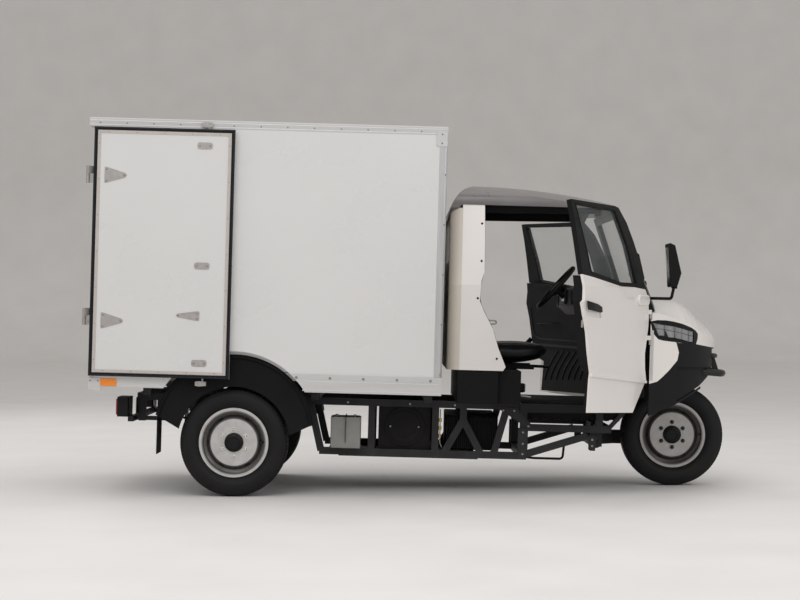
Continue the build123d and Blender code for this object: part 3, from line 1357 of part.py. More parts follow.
# Front swing arm: pivots behind the wheel, runs round its left side and holds the knuckle
KING_Y = 28.0
KING_R = 10.0
BOSS_R = 24.0
LUG_Z = 62.0
LUG_T = 20.0
ARM_OUT = 262.0
king_plane = Plane(origin=(hub_x, KING_Y, hub_z), x_dir=(1, 0, 0), z_dir=(0, 0, 1))
with BuildPart() as swing_arm:
    with BuildSketch(Plane.XY.offset(ARM_PIVOT_Z - 38)):
        with BuildLine():
            FilletPolyline(
                (ARM_PIVOT_X, 110),
                (2140, 130),
                (2240, ARM_OUT - 20),
                (hub_x - 60, ARM_OUT - 20),
                (hub_x - 28, 66),
                (hub_x + 28, 66),
                (hub_x + 28, 150),
                (hub_x - 10, ARM_OUT + 34),
                (2220, ARM_OUT + 34),
                (2130, 195),
                (ARM_PIVOT_X, 195),
                radius=12,
                close=True,
            )
        make_face()
    extrude(amount=82)
    with BuildSketch(Plane.XZ.offset(-66)):
        with Locations((hub_x, hub_z)):
            Rectangle(56, 2 * (LUG_Z + LUG_T))
    extrude(amount=-40)
    for lug_low in (-LUG_Z - LUG_T, LUG_Z):
        with BuildSketch(king_plane.offset(lug_low)):
            Circle(28)
            with Locations((0, 40)):
                Rectangle(56, 80)
            Circle(KING_R + RUNNING, mode=Mode.SUBTRACT)
        extrude(amount=LUG_T)
    with BuildSketch(Plane.XZ.offset(-ARM_PIVOT_HALF)):
        with Locations((ARM_PIVOT_X, ARM_PIVOT_Z)):
            Circle(40)
    extrude(amount=2 * ARM_PIVOT_HALF)
    with BuildSketch(Plane.XZ.offset(-ARM_PIVOT_HALF - 20)):
        with Locations((ARM_PIVOT_X, ARM_PIVOT_Z)):
            Circle(ARM_PIN_R)
    extrude(amount=2 * (ARM_PIVOT_HALF + 20))
keep("front_swing_arm", swing_arm.part)

with BuildPart() as knuckle:
    with BuildSketch(king_plane.offset(-LUG_Z + 0.5)):
        Circle(BOSS_R)
    extrude(amount=2 * LUG_Z - 1)
    with BuildSketch(king_plane.offset(-LUG_Z - LUG_T)):
        Circle(KING_R)
    extrude(amount=2 * (LUG_Z + LUG_T) + 14)
    with BuildSketch(king_plane.offset(LUG_Z + LUG_T + 2)):
        with Locations((0, 55)):
            SlotOverall(150, 34, rotation=90)
    extrude(amount=12)
    with BuildSketch(Plane.XZ.offset(-KING_Y)):
        with Locations((hub_x, hub_z)):
            Circle(34)
    extrude(amount=KING_Y + hub_back_y - 1)
    with BuildSketch(Plane.XZ.offset(-KING_Y)):
        with Locations((hub_x, hub_z)):
            Circle(SPINDLE_R)
    extrude(amount=KING_Y + hub_back_y + SPINDLE_LENGTH - 2)
keep("steering_knuckle", knuckle.part)

# Steering wheel and column
WHEEL_CENTRE = (1841.0, 0.0, 1239.0)
COLUMN_DIR = (0.76, 0.0, -0.65)
WHEEL_R = 168.0
column_plane = Plane(origin=WHEEL_CENTRE, x_dir=(0, 1, 0), z_dir=COLUMN_DIR)
with BuildPart() as steering_wheel:
    with BuildSketch(Plane(origin=WHEEL_CENTRE, x_dir=(0, 1, 0), z_dir=(0.65, 0, 0.76))):
        with Locations((WHEEL_R - 14, 0)):
            Circle(14)
    revolve(axis=Axis(WHEEL_CENTRE, COLUMN_DIR))
    with BuildSketch(column_plane):
        Circle(48)
    extrude(amount=30)
    for spoke in (0, 180, 270):
        with BuildSketch(column_plane):
            with PolarLocations(WHEEL_R / 2 + 4, 1, start_angle=spoke):
                Rectangle(WHEEL_R - 50, 26)
        extrude(amount=10)
keep("steering_wheel", steering_wheel.part)

with BuildPart() as steering_column:
    with BuildSketch(column_plane.offset(30 + SEAT_GAP)):
        Circle(26)
    extrude(amount=300)
keep("steering_column", steering_column.part)

with BuildPart() as dashboard:
    with BuildSketch(Plane.XZ.offset(-600)):
        profile(
            [
                (1960, 1080),
                (1900, 1130),
                (1900, 1225),
                (1990, 1250),
                (2300, 1205),
                (2390, 1190),
                (2390, TOE_BOARD_TOP + SEAT_GAP),
                (2269, TOE_BOARD_TOP + SEAT_GAP),
                (2256, 1050),
            ]
        )
    extrude(amount=1200)
    # Its front edge meets the windscreen surround
    screen_band(800, 300 + SURROUND_T + SEAT_GAP, -300, -200, 400, Mode.SUBTRACT)
    add(nose_at[-SEAT_GAP], mode=Mode.SUBTRACT)
    with BuildSketch(column_plane):
        Circle(26 + SEAT_GAP)
    extrude(amount=420, mode=Mode.SUBTRACT)
keep("dashboard", dashboard.part)

# Seat
with BuildPart() as seat_cushion:
    with BuildSketch(Plane.XZ.offset(-235)):
        with BuildLine():
            FilletPolyline(
                (1372, CUSHION_LOW),
                (1372, 880),
                (1700, 905),
                (1800, 880),
                (1800, 830),
                (1740, CUSHION_LOW),
                radius=20,
                close=True,
            )
        make_face()
    extrude(amount=470)
with BuildPart() as seat_back:
    with BuildSketch(Plane.XZ.offset(-225)) as back:
        profile([(SEAT_BACK_X, 880), (SEAT_BACK_X + 103, 890), (SEAT_BACK_X + 78, 1400), (SEAT_BACK_X, 1400)])
        fillet(back.vertices(), 20)
    extrude(amount=450)
keep("seat", Compound(children=[seat_cushion.part.solid(), seat_back.part.solid()]))

# Mirrors on cranked arms
MIRROR_FOOT_X = 2258.0
MIRROR_FOOT_Z = 1182.0
with BuildPart() as mirror_right:
    # Arm from a foot on the side of the windscreen surround, forward past the door and then out
    with BuildSketch(Plane.XZ.offset(SCREEN_HALF + SEAT_GAP)):
        with Locations((MIRROR_FOOT_X, MIRROR_FOOT_Z)):
            Circle(12)
    extrude(amount=8)
    with BuildLine() as arm_path:
        FilletPolyline(
            (MIRROR_FOOT_X, -649, MIRROR_FOOT_Z),
            (2318, -649, MIRROR_FOOT_Z),
            (2344, -712, MIRROR_FOOT_Z),
            (2428, -770, 1182),
            (2440, -790, 1260),
            radius=18,
        )
    with BuildSketch(Plane(origin=arm_path.line @ 0, z_dir=arm_path.line % 0)):
        Circle(8.5)
    sweep(path=arm_path.line)
    with BuildSketch(Plane.XZ.offset(715)) as head:
        profile([(2411, 1244), (2391, 1495), (2428, 1479), (2467, 1324), (2448, 1255)])
        fillet(head.vertices(), 8)
    extrude(amount=150)
keep("mirrors", both(mirror_right.part))

# Cab doors, drawn closed on the right-hand side
SWAGE = 4.0  # how far the raised parts of the skin stand out
HANDLE_OUT = 9.0
SKIRT_TUCK = 8.0
# Side-view outlines on the skin: raised band, tucked skirt below it, handle recess and handle
door_swage = [(1400, 813), (2400, 705), (2400, 694), (1400, 759)]
door_skirt = [(1400, 759), (2400, 694), (2400, 450), (1400, 450)]
handle_recess = [(1408, 1152), (1606, 1122), (1614, 1063), (1412, 1073)]
handle_blade = [(1410, 1151), (1425, 1107), (1582, 1093), (1606, 1097), (1599, 1120), (1539, 1135)]


def skin_patch(outline, depth, inset, mode=Mode.ADD):
    """The part of the side skin at a depth, inside a side-view outline."""
    with BuildPart(mode=Mode.PRIVATE) as patch:
        side_skin(1300, 2340, depth, inset)
        with BuildSketch(Plane.XZ.offset(CAB_HALF - 120)):
            profile(outline)
        extrude(amount=150, mode=Mode.INTERSECT)
    add(patch.part, mode=mode)


with BuildPart() as door_skin:
    skin_patch(door_outline, DOOR_SKIN, 0.0)
    with BuildPart(mode=Mode.ADD):
        skin_patch(door_swage, SWAGE + 1, -SWAGE)
        with BuildSketch(Plane.XZ.offset(CAB_HALF - 120)):
            profile(door_outline)
        extrude(amount=150, mode=Mode.INTERSECT)
    skin_patch(door_skirt, SKIRT_TUCK + 2, -2, Mode.SUBTRACT)
    skin_patch(handle_recess, HANDLE_OUT + 2, -2, Mode.SUBTRACT)
    skin_patch(handle_blade, 2 * HANDLE_OUT + 1, -HANDLE_OUT)
    # Rounded pod at the foot of the window
    with BuildSketch(Plane.XZ.offset(CAB_HALF - 6)):
        with Locations((2206, 1169)):
            SlotOverall(168, 62)
    extrude(amount=18)
    fillet(door_skin.edges().group_by(Axis.Y)[0], 9)
    for knuckle_z in DOOR_HINGE_Z:
        with BuildSketch(Plane.XY.offset(knuckle_z - DOOR_KNUCKLE_H - 3)):
            with Locations(door_pin):
                Circle(DOOR_KNUCKLE_R + 3)
        extrude(amount=2 * DOOR_KNUCKLE_H + 6, mode=Mode.SUBTRACT)
        with BuildSketch(Plane.XY.offset(knuckle_z + 1)):
            with Locations(door_pin):
                Circle(DOOR_KNUCKLE_R)
            profile(
                [
                    (DOOR_HINGE_X, -CAB_HALF - DOOR_KNUCKLE_R),
                    (DOOR_HINGE_X - 48, -CAB_HALF - 4),
                    (DOOR_HINGE_X - 48, -CAB_HALF + 3),
                    (DOOR_HINGE_X, -CAB_HALF + 3),
                ]
            )
        extrude(amount=DOOR_KNUCKLE_H - 1)
        with BuildSketch(Plane.XY.offset(knuckle_z)):
            with Locations(door_pin):
                Circle(HINGE_PIN_R + RUNNING)
        extrude(amount=DOOR_KNUCKLE_H, mode=Mode.SUBTRACT)
lean_run = CANT_Z - BELT_Z
lean_plane = Plane(origin=(0, -CAB_HALF + 2, BELT_Z), x_dir=(1, 0, 0), z_dir=(0, -lean_run, CAB_LEAN - 2))
up_scale = math.hypot(lean_run, CAB_LEAN - 2) / lean_run


def window_place(x, share):
    """A place on the leaning plane, by its share of the height from belt to roof."""
    return (x, share * lean_run * up_scale)


# Window frame and glass outlines, as X and share of the height from belt to roof
frame_high = [
    (1392, 0.478),
    (1392, 0.739),
    (1386, 0.987),
    (1975, 0.987),
    (2032, 0.974),
    (2120, 0.800),
    (2179, 0.583),
    (2232, 0.326),
    (2243, 0.010),
]
FRAME_LIFT = 4.5  # over the skin's upper edge
frame_low = [(x, (z + FRAME_LIFT - BELT_Z) / lean_run) for x, z in door_belt + [door_rear[0]]]
glass_edge = [
    (1433, 0.946),
    (1974, 0.935),
    (2071, 0.543),
    (2122, 0.055),
    (1890, 0.052),
    (1503, 0.159),
    (1489, 0.417),
]
# Inner trim, clear of the seat box and the sill when shut
trim_outline = [
    (1420, 1284),
    (1404, 1150),
    (1440, 1050),
    (1482, 900),
    (1536, 790),
    (1622, 764),
    (1622, FLOOR_TOP + 8),
    (2130, FLOOR_TOP + 8),
    (2250, 706),
    (2262, 740),
    (2264, 782),
    (2254, 869),
    (2266, 934),
    (2280, 1020),
    (2276, 1080),
    (2238, 1130),
    (2196, 1238),
    (2071, 1246),
    (1893, 1245),
    (1516, 1286),
]
with BuildPart() as door_frame:
    with BuildSketch(lean_plane):
        profile([window_place(x, share) for x, share in frame_high + frame_low])
        profile([window_place(x, share) for x, share in glass_edge], Mode.SUBTRACT)
    extrude(amount=-DOOR_FRAME_T)
    skin_patch(trim_outline, DOOR_DEEP - DOOR_SKIN - SEAT_GAP, DOOR_SKIN + SEAT_GAP)
with BuildPart() as door_glass:
    with BuildSketch(lean_plane.offset(-(DOOR_FRAME_T - GLASS_T) / 2)):
        profile([window_place(x, share) for x, share in glass_edge])
        offset(amount=-SEAT_GAP, kind=Kind.INTERSECTION, mode=Mode.REPLACE)
    extrude(amount=-GLASS_T)
door_sets = [
    ("door_skin", door_skin.part),
    ("door_frame", door_frame.part),
    ("door_glass", door_glass.part),
]
for door_name, door_piece in door_sets:
    keep(door_name + "_right", swung(door_piece, door_pin, DOOR_OPEN))
    keep(door_name + "_left", mirrored(swung(door_piece, door_pin, FAR_DOOR_OPEN)))

# Origin on the ground at mid length
low_x = min(piece.bounding_box().min.X for piece in pieces.values())
high_x = max(piece.bounding_box().max.X for piece in pieces.values())
origin_x = (low_x + high_x) / 2
for name, piece in pieces.items():
    placed = Location((-origin_x, 0, 0)) * piece
    placed.label = name
    export_step(placed, f"parts/{name}.step")
print("origin", round(origin_x, 3), "length", round(high_x - low_x, 1), "pieces", len(pieces))
print("front hub on the level body", round(hub_x, 3), round(hub_z, 3))
print("rear leaf pin", leaf_pin, "door pin", door_pin)
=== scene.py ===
"""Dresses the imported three-wheeled delivery vehicle: finishes for its solid pieces, and the ones they lack."""
import math

import bmesh
import bpy
import numpy as np
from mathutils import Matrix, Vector


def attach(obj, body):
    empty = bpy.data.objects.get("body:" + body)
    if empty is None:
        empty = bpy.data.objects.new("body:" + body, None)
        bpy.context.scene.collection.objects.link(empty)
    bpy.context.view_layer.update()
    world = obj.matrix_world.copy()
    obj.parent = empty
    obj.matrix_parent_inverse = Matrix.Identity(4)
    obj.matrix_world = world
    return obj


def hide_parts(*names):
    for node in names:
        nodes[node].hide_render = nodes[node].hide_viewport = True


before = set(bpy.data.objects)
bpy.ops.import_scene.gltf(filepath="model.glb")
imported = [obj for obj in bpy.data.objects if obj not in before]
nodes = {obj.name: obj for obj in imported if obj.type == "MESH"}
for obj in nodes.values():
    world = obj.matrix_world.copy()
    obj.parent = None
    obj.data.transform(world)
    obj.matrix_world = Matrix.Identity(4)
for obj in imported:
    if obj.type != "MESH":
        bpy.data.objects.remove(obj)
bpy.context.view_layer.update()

# Camera and level body. The picture is a square-on view of the right-hand side with a long lens, from 11.33 m
# away and 1.04 m up. Places are given on the level body, in millimetres ahead of the rear axle, left of the
# middle and up; the parked body leans 1.6 degrees nose down, and the frame's origin is at mid length.
ORIGIN_X = 1015.605
LEAN = math.radians(1.6)
camera_data = bpy.data.cameras.new("camera")
camera = bpy.data.objects.new("camera", camera_data)
bpy.context.collection.objects.link(camera)
camera.location = (0.936 - ORIGIN_X / 1000, -11.33, 1.039)
camera.rotation_euler = (math.radians(90), 0, 0)
camera_data.sensor_width = 36.0
camera_data.lens = 84.6
camera_data.shift_y = 0.015
bpy.context.scene.camera = camera


def parted(points):
    """The three coordinates of some points, each as an array."""
    return np.moveaxis(np.asarray(points, float), -1, 0)


def spread(x, y, z):
    """Points from three numbers or arrays, which are carried to one shape."""
    return np.stack(np.broadcast_arrays(x, y, z), axis=-1)


def body_place(points):
    """Level body to frame: a turn about Y by the lean, then a shift back by the origin, in metres."""
    x, y, z = parted(points)
    along = x * math.cos(LEAN) + z * math.sin(LEAN) - ORIGIN_X
    up = z * math.cos(LEAN) - x * math.sin(LEAN)
    return spread(along, y, up) / 1000


# Floor and backdrop: one pale sheet of studio paper that lies under the vehicle and curves up behind it.
# It is a flat run, a quarter turn and a rise, carried straight across.
SWEEP_FRONT, SWEEP_BACK, SWEEP_R, SWEEP_TOP, SWEEP_HALF = -40.0, 26.0, 4.0, 24.0, 60.0
quarter = np.linspace(0, math.pi / 2, 17)
sweep_y = np.concatenate([[SWEEP_FRONT], SWEEP_BACK + SWEEP_R * np.sin(quarter), [SWEEP_BACK + SWEEP_R]])
sweep_z = np.concatenate([[0.0], SWEEP_R * (1 - np.cos(quarter)), [SWEEP_TOP]])
sweep_x = np.repeat([-SWEEP_HALF, SWEEP_HALF], len(sweep_y))
sweep_points = spread(sweep_x, np.tile(sweep_y, 2), np.tile(sweep_z, 2))
strip = np.arange(len(sweep_y) - 1)
sweep_faces = np.stack([strip, strip + len(sweep_y), strip + len(sweep_y) + 1, strip + 1], axis=-1)
floor_mesh = bpy.data.meshes.new("floor")
floor_mesh.from_pydata(sweep_points.tolist(), [], sweep_faces.tolist())
floor_mesh.shade_smooth()
floor = bpy.data.objects.new("floor", floor_mesh)
bpy.context.collection.objects.link(floor)


def noise(tree, scale, detail=5.0, stretch=(1, 1, 1), centre=(0, 0, 0)):
    """Soft noise on Object coordinates, stretched along an axis where its factor is below one."""
    where = tree.nodes.new("ShaderNodeTexCoord")
    turn = tree.nodes.new("ShaderNodeMapping")
    turn.inputs["Location"].default_value = centre
    turn.inputs["Scale"].default_value = stretch
    cloud = tree.nodes.new("ShaderNodeTexNoise")
    cloud.inputs["Scale"].default_value = scale
    cloud.inputs["Detail"].default_value = detail
    tree.links.new(where.outputs["Object"], turn.inputs["Vector"])
    tree.links.new(turn.outputs["Vector"], cloud.inputs["Vector"])
    return cloud.outputs["Fac"]


def remap(tree, value, low, high, to_low, to_high):
    """A straight rescale of one range of values to another, held at its ends."""
    ranged = tree.nodes.new("ShaderNodeMapRange")
    for socket, number in enumerate((low, high, to_low, to_high), start=1):
        ranged.inputs[socket].default_value = number
    tree.links.new(value, ranged.inputs[0])
    return ranged.outputs[0]


def tinted(tree, factor, first, second):
    """A mix of two colours, each a colour or another mix, by a factor from 0 to 1."""
    mix = tree.nodes.new("ShaderNodeMix")
    mix.data_type = "RGBA"
    tree.links.new(factor, mix.inputs[0])
    for socket, colour in ((6, first), (7, second)):
        if isinstance(colour, tuple):
            mix.inputs[socket].default_value = (*colour, 1)
        else:
            tree.links.new(colour, mix.inputs[socket])
    return mix.outputs[2]


def finish(name, colour, rough, metal=0.0, coat=0.0, mottle=0.06, scale=9.0, bump=0.0, grain=220.0,
           stretch=(1, 1, 1), gloss=0.5, dust=0.0, wear=0.0):
    """A worked finish: colour and roughness wander with soft noise, grain stands up in fine noise, road dust
    gathers towards the ground, and wear lightens scattered spots."""
    material = bpy.data.materials.new(name)
    material.use_nodes = True
    tree = material.node_tree
    shader = tree.nodes["Principled BSDF"]
    shader.inputs["Metallic"].default_value = metal
    shader.inputs["Specular IOR Level"].default_value = gloss
    shader.inputs["Coat Weight"].default_value = coat
    shader.inputs["Coat Roughness"].default_value = 0.08
    cloud = noise(tree, scale, 6.0, stretch)
    darker = tuple(c * (1 - mottle) for c in colour)
    lighter = tuple(min(1.0, c * (1 + mottle)) for c in colour)
    shade = tinted(tree, remap(tree, cloud, 0.3, 0.7, 0, 1), darker, lighter)
    if wear:
        spots = remap(tree, noise(tree, scale * 7, 8.0), 0.60, 0.72, 0, wear)
        shade = tinted(tree, spots, shade, tuple(min(1.0, 0.08 + c * 1.6) for c in colour))
    if dust:
        where = tree.nodes.new("ShaderNodeTexCoord")
        apart = tree.nodes.new("ShaderNodeSeparateXYZ")
        tree.links.new(where.outputs["Object"], apart.inputs[0])
        low = remap(tree, apart.outputs[2], 0.05, 0.75, dust, 0.0)
        patch = tree.nodes.new("ShaderNodeMath")
        patch.operation = "MULTIPLY"
        tree.links.new(low, patch.inputs[0])
        tree.links.new(remap(tree, noise(tree, 5.0, 7.0), 0.35, 0.65, 0.3, 1.0), patch.inputs[1])
        shade = tinted(tree, patch.outputs[0], shade, (0.20, 0.17, 0.14))
    tree.links.new(shade, shader.inputs["Base Color"])
    uneven = remap(tree, cloud, 0.3, 0.7, max(0.02, rough - 0.07), min(1.0, rough + 0.07))
    tree.links.new(uneven, shader.inputs["Roughness"])
    if bump:
        raised = tree.nodes.new("ShaderNodeBump")
        raised.inputs["Strength"].default_value = bump
        raised.inputs["Distance"].default_value = 0.001
        tree.links.new(noise(tree, grain, 3.0, stretch), raised.inputs["Height"])
        tree.links.new(raised.outputs[0], shader.inputs["Normal"])
    return material


floor_mesh.materials.append(finish("pale_floor", (0.74, 0.725, 0.71), 0.75, mottle=0.03, scale=1.5))

# Studio light: a plain, nearly neutral world with four wide soft lamps, the largest of them overhead.
# Each lamp is a flat square panel turned to the vehicle.
world = bpy.data.worlds.new("studio")
bpy.context.scene.world = world
world.use_nodes = True
world.node_tree.nodes["Background"].inputs[0].default_value = (1.0, 0.98, 0.96, 1)
world.node_tree.nodes["Background"].inputs[1].default_value = 0.60
for lamp_name, place, size, power, aim in [
    ("key", (-2.0, -7.5, 6.8), 6.0, 230.0, (0.2, 0, 0.8)),
    ("fill", (5.5, -6.0, 4.2), 4.0, 100.0, (0.8, 0, 0.8)),
    ("top", (0.0, 0.3, 7.5), 7.0, 150.0, (0, 0, 0)),
    ("back", (-5.0, 6.0, 5.5), 5.0, 100.0, (0, 0, 1.0)),
]:
    lamp_data = bpy.data.lights.new(lamp_name, "AREA")
    lamp_data.size = size
    lamp_data.energy = power
    lamp = bpy.data.objects.new(lamp_name, lamp_data)
    lamp.location = place
    lamp.rotation_euler = (Vector(aim) - Vector(place)).to_track_quat("-Z", "Y").to_euler()
    bpy.context.collection.objects.link(lamp)
bpy.context.scene.view_settings.view_transform = "Standard"

# Tyres: three black radial road tyres, moulded with four zigzag ribs, slotted shoulders and ringed sidewalls.
# Each stands for its plain solid, with the same bead, sidewall and crown.
TYRE_R = 304.0
WHEELS = {
    "rear_right": (0.0, -690.0, -1),
    "rear_left": (0.0, 690.0, 1),
    "front": (2568.0, 0.0, -1),
}


def wheel_place(wheel):
    """Wheel to frame: forward, outwards and up from the middle of the wheel, in millimetres."""
    centre_x, centre_y, facing = WHEELS[wheel]

    def place(points):
        x, out, z = parted(points)
        return spread(centre_x + x - ORIGIN_X, centre_y + facing * out, TYRE_R + z) / 1000

    return place


def piece(name, material, grids, body="vehicle", place=body_place, sharp=38):
    """One object from closed sheets of points, whose columns run round: each quad joins four neighbours, and
    doubled points are merged so that collapsed ends close."""
    points, quads, start = [], [], 0
    for grid in grids:
        rows, cols = grid.shape[:2]
        index = start + np.arange(rows * cols).reshape(rows, cols)
        ahead = np.roll(index, -1, axis=1)
        quads.append(np.stack([index[:-1], ahead[:-1], ahead[1:], index[1:]], axis=-1).reshape(-1, 4))
        points.append(place(grid).reshape(-1, 3))
        start += rows * cols
    mesh = bpy.data.meshes.new(name)
    mesh.from_pydata(np.concatenate(points).tolist(), [], np.concatenate(quads).tolist())
    work = bmesh.new()
    work.from_mesh(mesh)
    bmesh.ops.remove_doubles(work, verts=work.verts, dist=1e-6)
    bmesh.ops.recalc_face_normals(work, faces=work.faces)
    work.to_mesh(mesh)
    work.free()
    mesh.shade_smooth()
    mesh.set_sharp_from_angle(angle=math.radians(sharp))
    mesh.materials.append(material)
    made = bpy.data.objects.new(name, mesh)
    bpy.context.collection.objects.link(made)
    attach(made, body)
    return made


def closed_row(grid):
    """The same sheet with its first row repeated at the end, so that it closes along its rows."""
    return np.concatenate([grid, grid[:1]])


def capped(sheet):
    """The same sheet closed at both ends, by a further row that is drawn together to the end row's middle."""
    first, last = (np.broadcast_to(row.mean(axis=0), row.shape)[None] for row in (sheet[0], sheet[-1]))
    return np.concatenate([first, sheet, last])


def both(grids):
    """Sheets of the right-hand side, followed by the same ones on the left."""
    return grids + [grid * (1, -1, 1) for grid in grids]


# Directions on the level body; outwards is to the right
AHEAD, LEFT, OUTWARD, UP = (1, 0, 0), (0, 1, 0), (0, -1, 0), (0, 0, 1)

# Half profile of the tyre: radius and distance from the middle, bead to crown
tyre_half = np.array([
    (178.4, 61.6), (198.5, 61.6), (206, 70), (216, 78), (229, 84), (242, 86), (256, 85), (268, 82),
    (279, 76.5), (288, 70), (295, 66.5), (299, 63), (301.5, 57), (302.5, 52), (303.3, 38), (303.8, 20),
    (304, 0),
])
TREAD_DEPTH = 6.5
SHOULDER_SLOTS = 102
GROOVE_MIDDLES, GROOVE_HALF, ZIGZAG = (-34, -12.5, 9.5, 31), 2.6, 3.0
RING_RADII, RING_HALF, RING_RISE = (214, 236, 262, 276), 2.0, 0.9
run = np.concatenate([[0], np.cumsum(np.hypot(*np.diff(tyre_half, axis=0).T))])
fine = np.linspace(0, run[-1], 40)
half_r = np.interp(fine, run, tyre_half[:, 0])
half_y = np.interp(fine, run, tyre_half[:, 1])
section_r = np.concatenate([half_r, half_r[-2::-1]])
section_y = np.concatenate([half_y, -half_y[-2::-1]])
around = np.linspace(0, 2 * math.pi, SHOULDER_SLOTS * 6, endpoint=False)[:, None]
zigzag = ZIGZAG * np.abs((around * SHOULDER_SLOTS / 2 / math.pi) % 2 - 1)
groove = sum(np.exp(-(((section_y - middle - zigzag) / GROOVE_HALF) ** 4)) for middle in GROOVE_MIDDLES)
slots = (np.cos(around * SHOULDER_SLOTS) > 0.5) * ((np.abs(section_y) > 46) & (section_r > 292))
sidewall_rings = sum(np.exp(-(((section_r - ring) / RING_HALF) ** 2)) for ring in RING_RADII)
treaded = section_r > 300
tread_r = section_r - TREAD_DEPTH * np.minimum(groove * treaded + 0.7 * slots, 1)
wall_y = section_y + np.sign(section_y) * (RING_RISE * sidewall_rings - RING_RISE) * (section_r > 205)
tyre_grid = spread(tread_r * np.cos(around), wall_y, tread_r * np.sin(around))
tyre_rubber = finish("tyre_rubber", (0.0075, 0.0075, 0.008), 0.6, mottle=0.25, bump=0.25, grain=500, gloss=0.2,
                     dust=0.03)
for wheel in WHEELS:
    tread = piece("treaded_" + wheel, tyre_rubber, [closed_row(tyre_grid)], "wheel_" + wheel,
                  wheel_place(wheel), 30)
    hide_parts("tyre_" + wheel)

# Rims: pressed steel wheels in silver paint, with a dished disc; the paint turns dark brown in the well between
# disc and flange. The dark band follows the distance from the wheel's own axis.
DISC_EDGE, WELL_START, WELL_END, FLANGE_START = 0.128, 0.142, 0.176, 0.184
WELL_BROWN = (0.035, 0.030, 0.026)


def dress(material, *names):
    """Gives solid pieces their finish."""
    for name in names:
        nodes[name].data.materials.clear()
        nodes[name].data.materials.append(material)


def rim_paint(wheel, colour):
    """Silver paint; a dark brown band in the rim's well rises and falls with the distance from the axis."""
    paint = finish("rim_paint_" + wheel, colour, 0.36, metal=0.55, mottle=0.1, scale=24, bump=0.06, gloss=0.4)
    tree = paint.node_tree
    shader = tree.nodes["Principled BSDF"]
    where = tree.nodes.new("ShaderNodeTexCoord")
    centre = tree.nodes.new("ShaderNodeMapping")
    centre.inputs["Location"].default_value = (-(WHEELS[wheel][0] - ORIGIN_X) / 1000, 0, -TYRE_R / 1000)
    centre.inputs["Scale"].default_value = (1, 0, 1)
    length = tree.nodes.new("ShaderNodeVectorMath")
    length.operation = "LENGTH"
    tree.links.new(where.outputs["Object"], centre.inputs["Vector"])
    tree.links.new(centre.outputs["Vector"], length.inputs[0])
    # The paint turns dark brown in the well between the disc's edge and the flange.
    rising = remap(tree, length.outputs["Value"], DISC_EDGE, WELL_START, 0, 1)
    falling = remap(tree, length.outputs["Value"], WELL_END, FLANGE_START, 0.85, 0)
    both_ways = tree.nodes.new("ShaderNodeMath")
    both_ways.operation = "MULTIPLY"
    tree.links.new(rising, both_ways.inputs[0])
    tree.links.new(falling, both_ways.inputs[1])
    plain_paint = shader.inputs["Base Color"].links[0].from_socket
    tree.links.new(tinted(tree, both_ways.outputs[0], plain_paint, WELL_BROWN), shader.inputs["Base Color"])
    return paint


for wheel in WHEELS:
    dress(rim_paint(wheel, (0.36, 0.35, 0.34) if wheel == "front" else (0.52, 0.51, 0.50)), "rim_" + wheel)

# Hubs: cast iron, painted black, with a pressed dust cap that has a raised ring and a small centre nipple.
# A brake drum stands inside each rim. Cap and drum are profiles turned about the wheel's axis.
hub_black = finish("hub_black", (0.006, 0.006, 0.006), 0.45, bump=0.2, grain=90, gloss=0.2, wear=0.1)
dress(hub_black, "hub_front", "hub_rear_left", "hub_rear_right")
CAP_PROFILE = np.array([(0, 62), (8, 65), (16, 64.5), (28, 64), (31, 66.5), (35, 66.5), (38, 64), (46, 62.5),
                        (50, 58)])
DRUM_PROFILE = np.array([(58, 26), (150, 26), (156, 20), (156, -22), (150, -28), (58, -28), (58, 26)])


def lathe(profile, sides=40):
    """A profile of radius and distance out, turned about the wheel's axis."""
    angle = np.linspace(0, 2 * math.pi, sides, endpoint=False)
    radius, out = profile[:, 0, None], profile[:, 1, None]
    return spread(radius * np.cos(angle), out, radius * np.sin(angle))


# Nuts and valves: plated hexagon nuts on the six studs, each with a washer and a domed end, and one rubber
# valve stem that leans out of the rim well.
STUD_CIRCLE = 75.0
NUT_PROFILE = np.array([(0, 46.4), (13.5, 46.4), (13.5, 48.4), (10.5, 48.6), (10.5, 58), (8.5, 60), (6.5, 62.5),
                        (4, 64.2), (0, 64.8)])
STEM_PROFILE = np.array([(0, 0), (4, 0), (5.5, 3), (4, 16), (4, 24), (4.6, 24.5), (4.6, 31), (0, 32)])
STEM_FOOT, STEM_LEAN = (162, 25, 0), 0.35
nut_plate = finish("nut_plate", (0.85, 0.83, 0.80), 0.25, metal=0.7, mottle=0.1, scale=60)
nut_black = finish("nut_black", (0.03, 0.03, 0.03), 0.35, metal=0.3, mottle=0.2, scale=60, wear=0.4)
valve_rubber = finish("valve_rubber", (0.012, 0.012, 0.012), 0.6, bump=0.2)
stud_angles = np.arange(6) * math.pi / 3 + math.pi / 2
stud_places = spread(STUD_CIRCLE * np.cos(stud_angles), 0, STUD_CIRCLE * np.sin(stud_angles))
nuts = list(lathe(NUT_PROFILE, 6) + stud_places[:, None, None])
stem_x, stem_out, stem_z = parted(lathe(STEM_PROFILE, 12))
stem = spread(stem_x - STEM_LEAN * stem_out, stem_out, stem_z) + STEM_FOOT
for wheel in WHEELS:
    for name, material, grids, sharp in (
        ("hub_cap_", hub_black, [lathe(CAP_PROFILE)], 38),
        ("brake_drum_", hub_black, [lathe(DRUM_PROFILE, 64)], 38),
        ("wheel_nuts_", nut_black if wheel == "front" else nut_plate, nuts, 25),
        ("valve_", valve_rubber, [stem], 38),
    ):
        piece(name + wheel, material, grids, "wheel_" + wheel, wheel_place(wheel), sharp)

# Chassis: two welded side ladders of square steel tube with cross tubes, gussets and a belly plate, in dark
# grey paint that has caught road dust low down.
chassis_paint = finish("chassis_paint", (0.024, 0.024, 0.027), 0.5, mottle=0.3, scale=12, bump=0.2, grain=160,
                       gloss=0.22, dust=0.10, wear=0.08)
dress(chassis_paint, "chassis_frame")


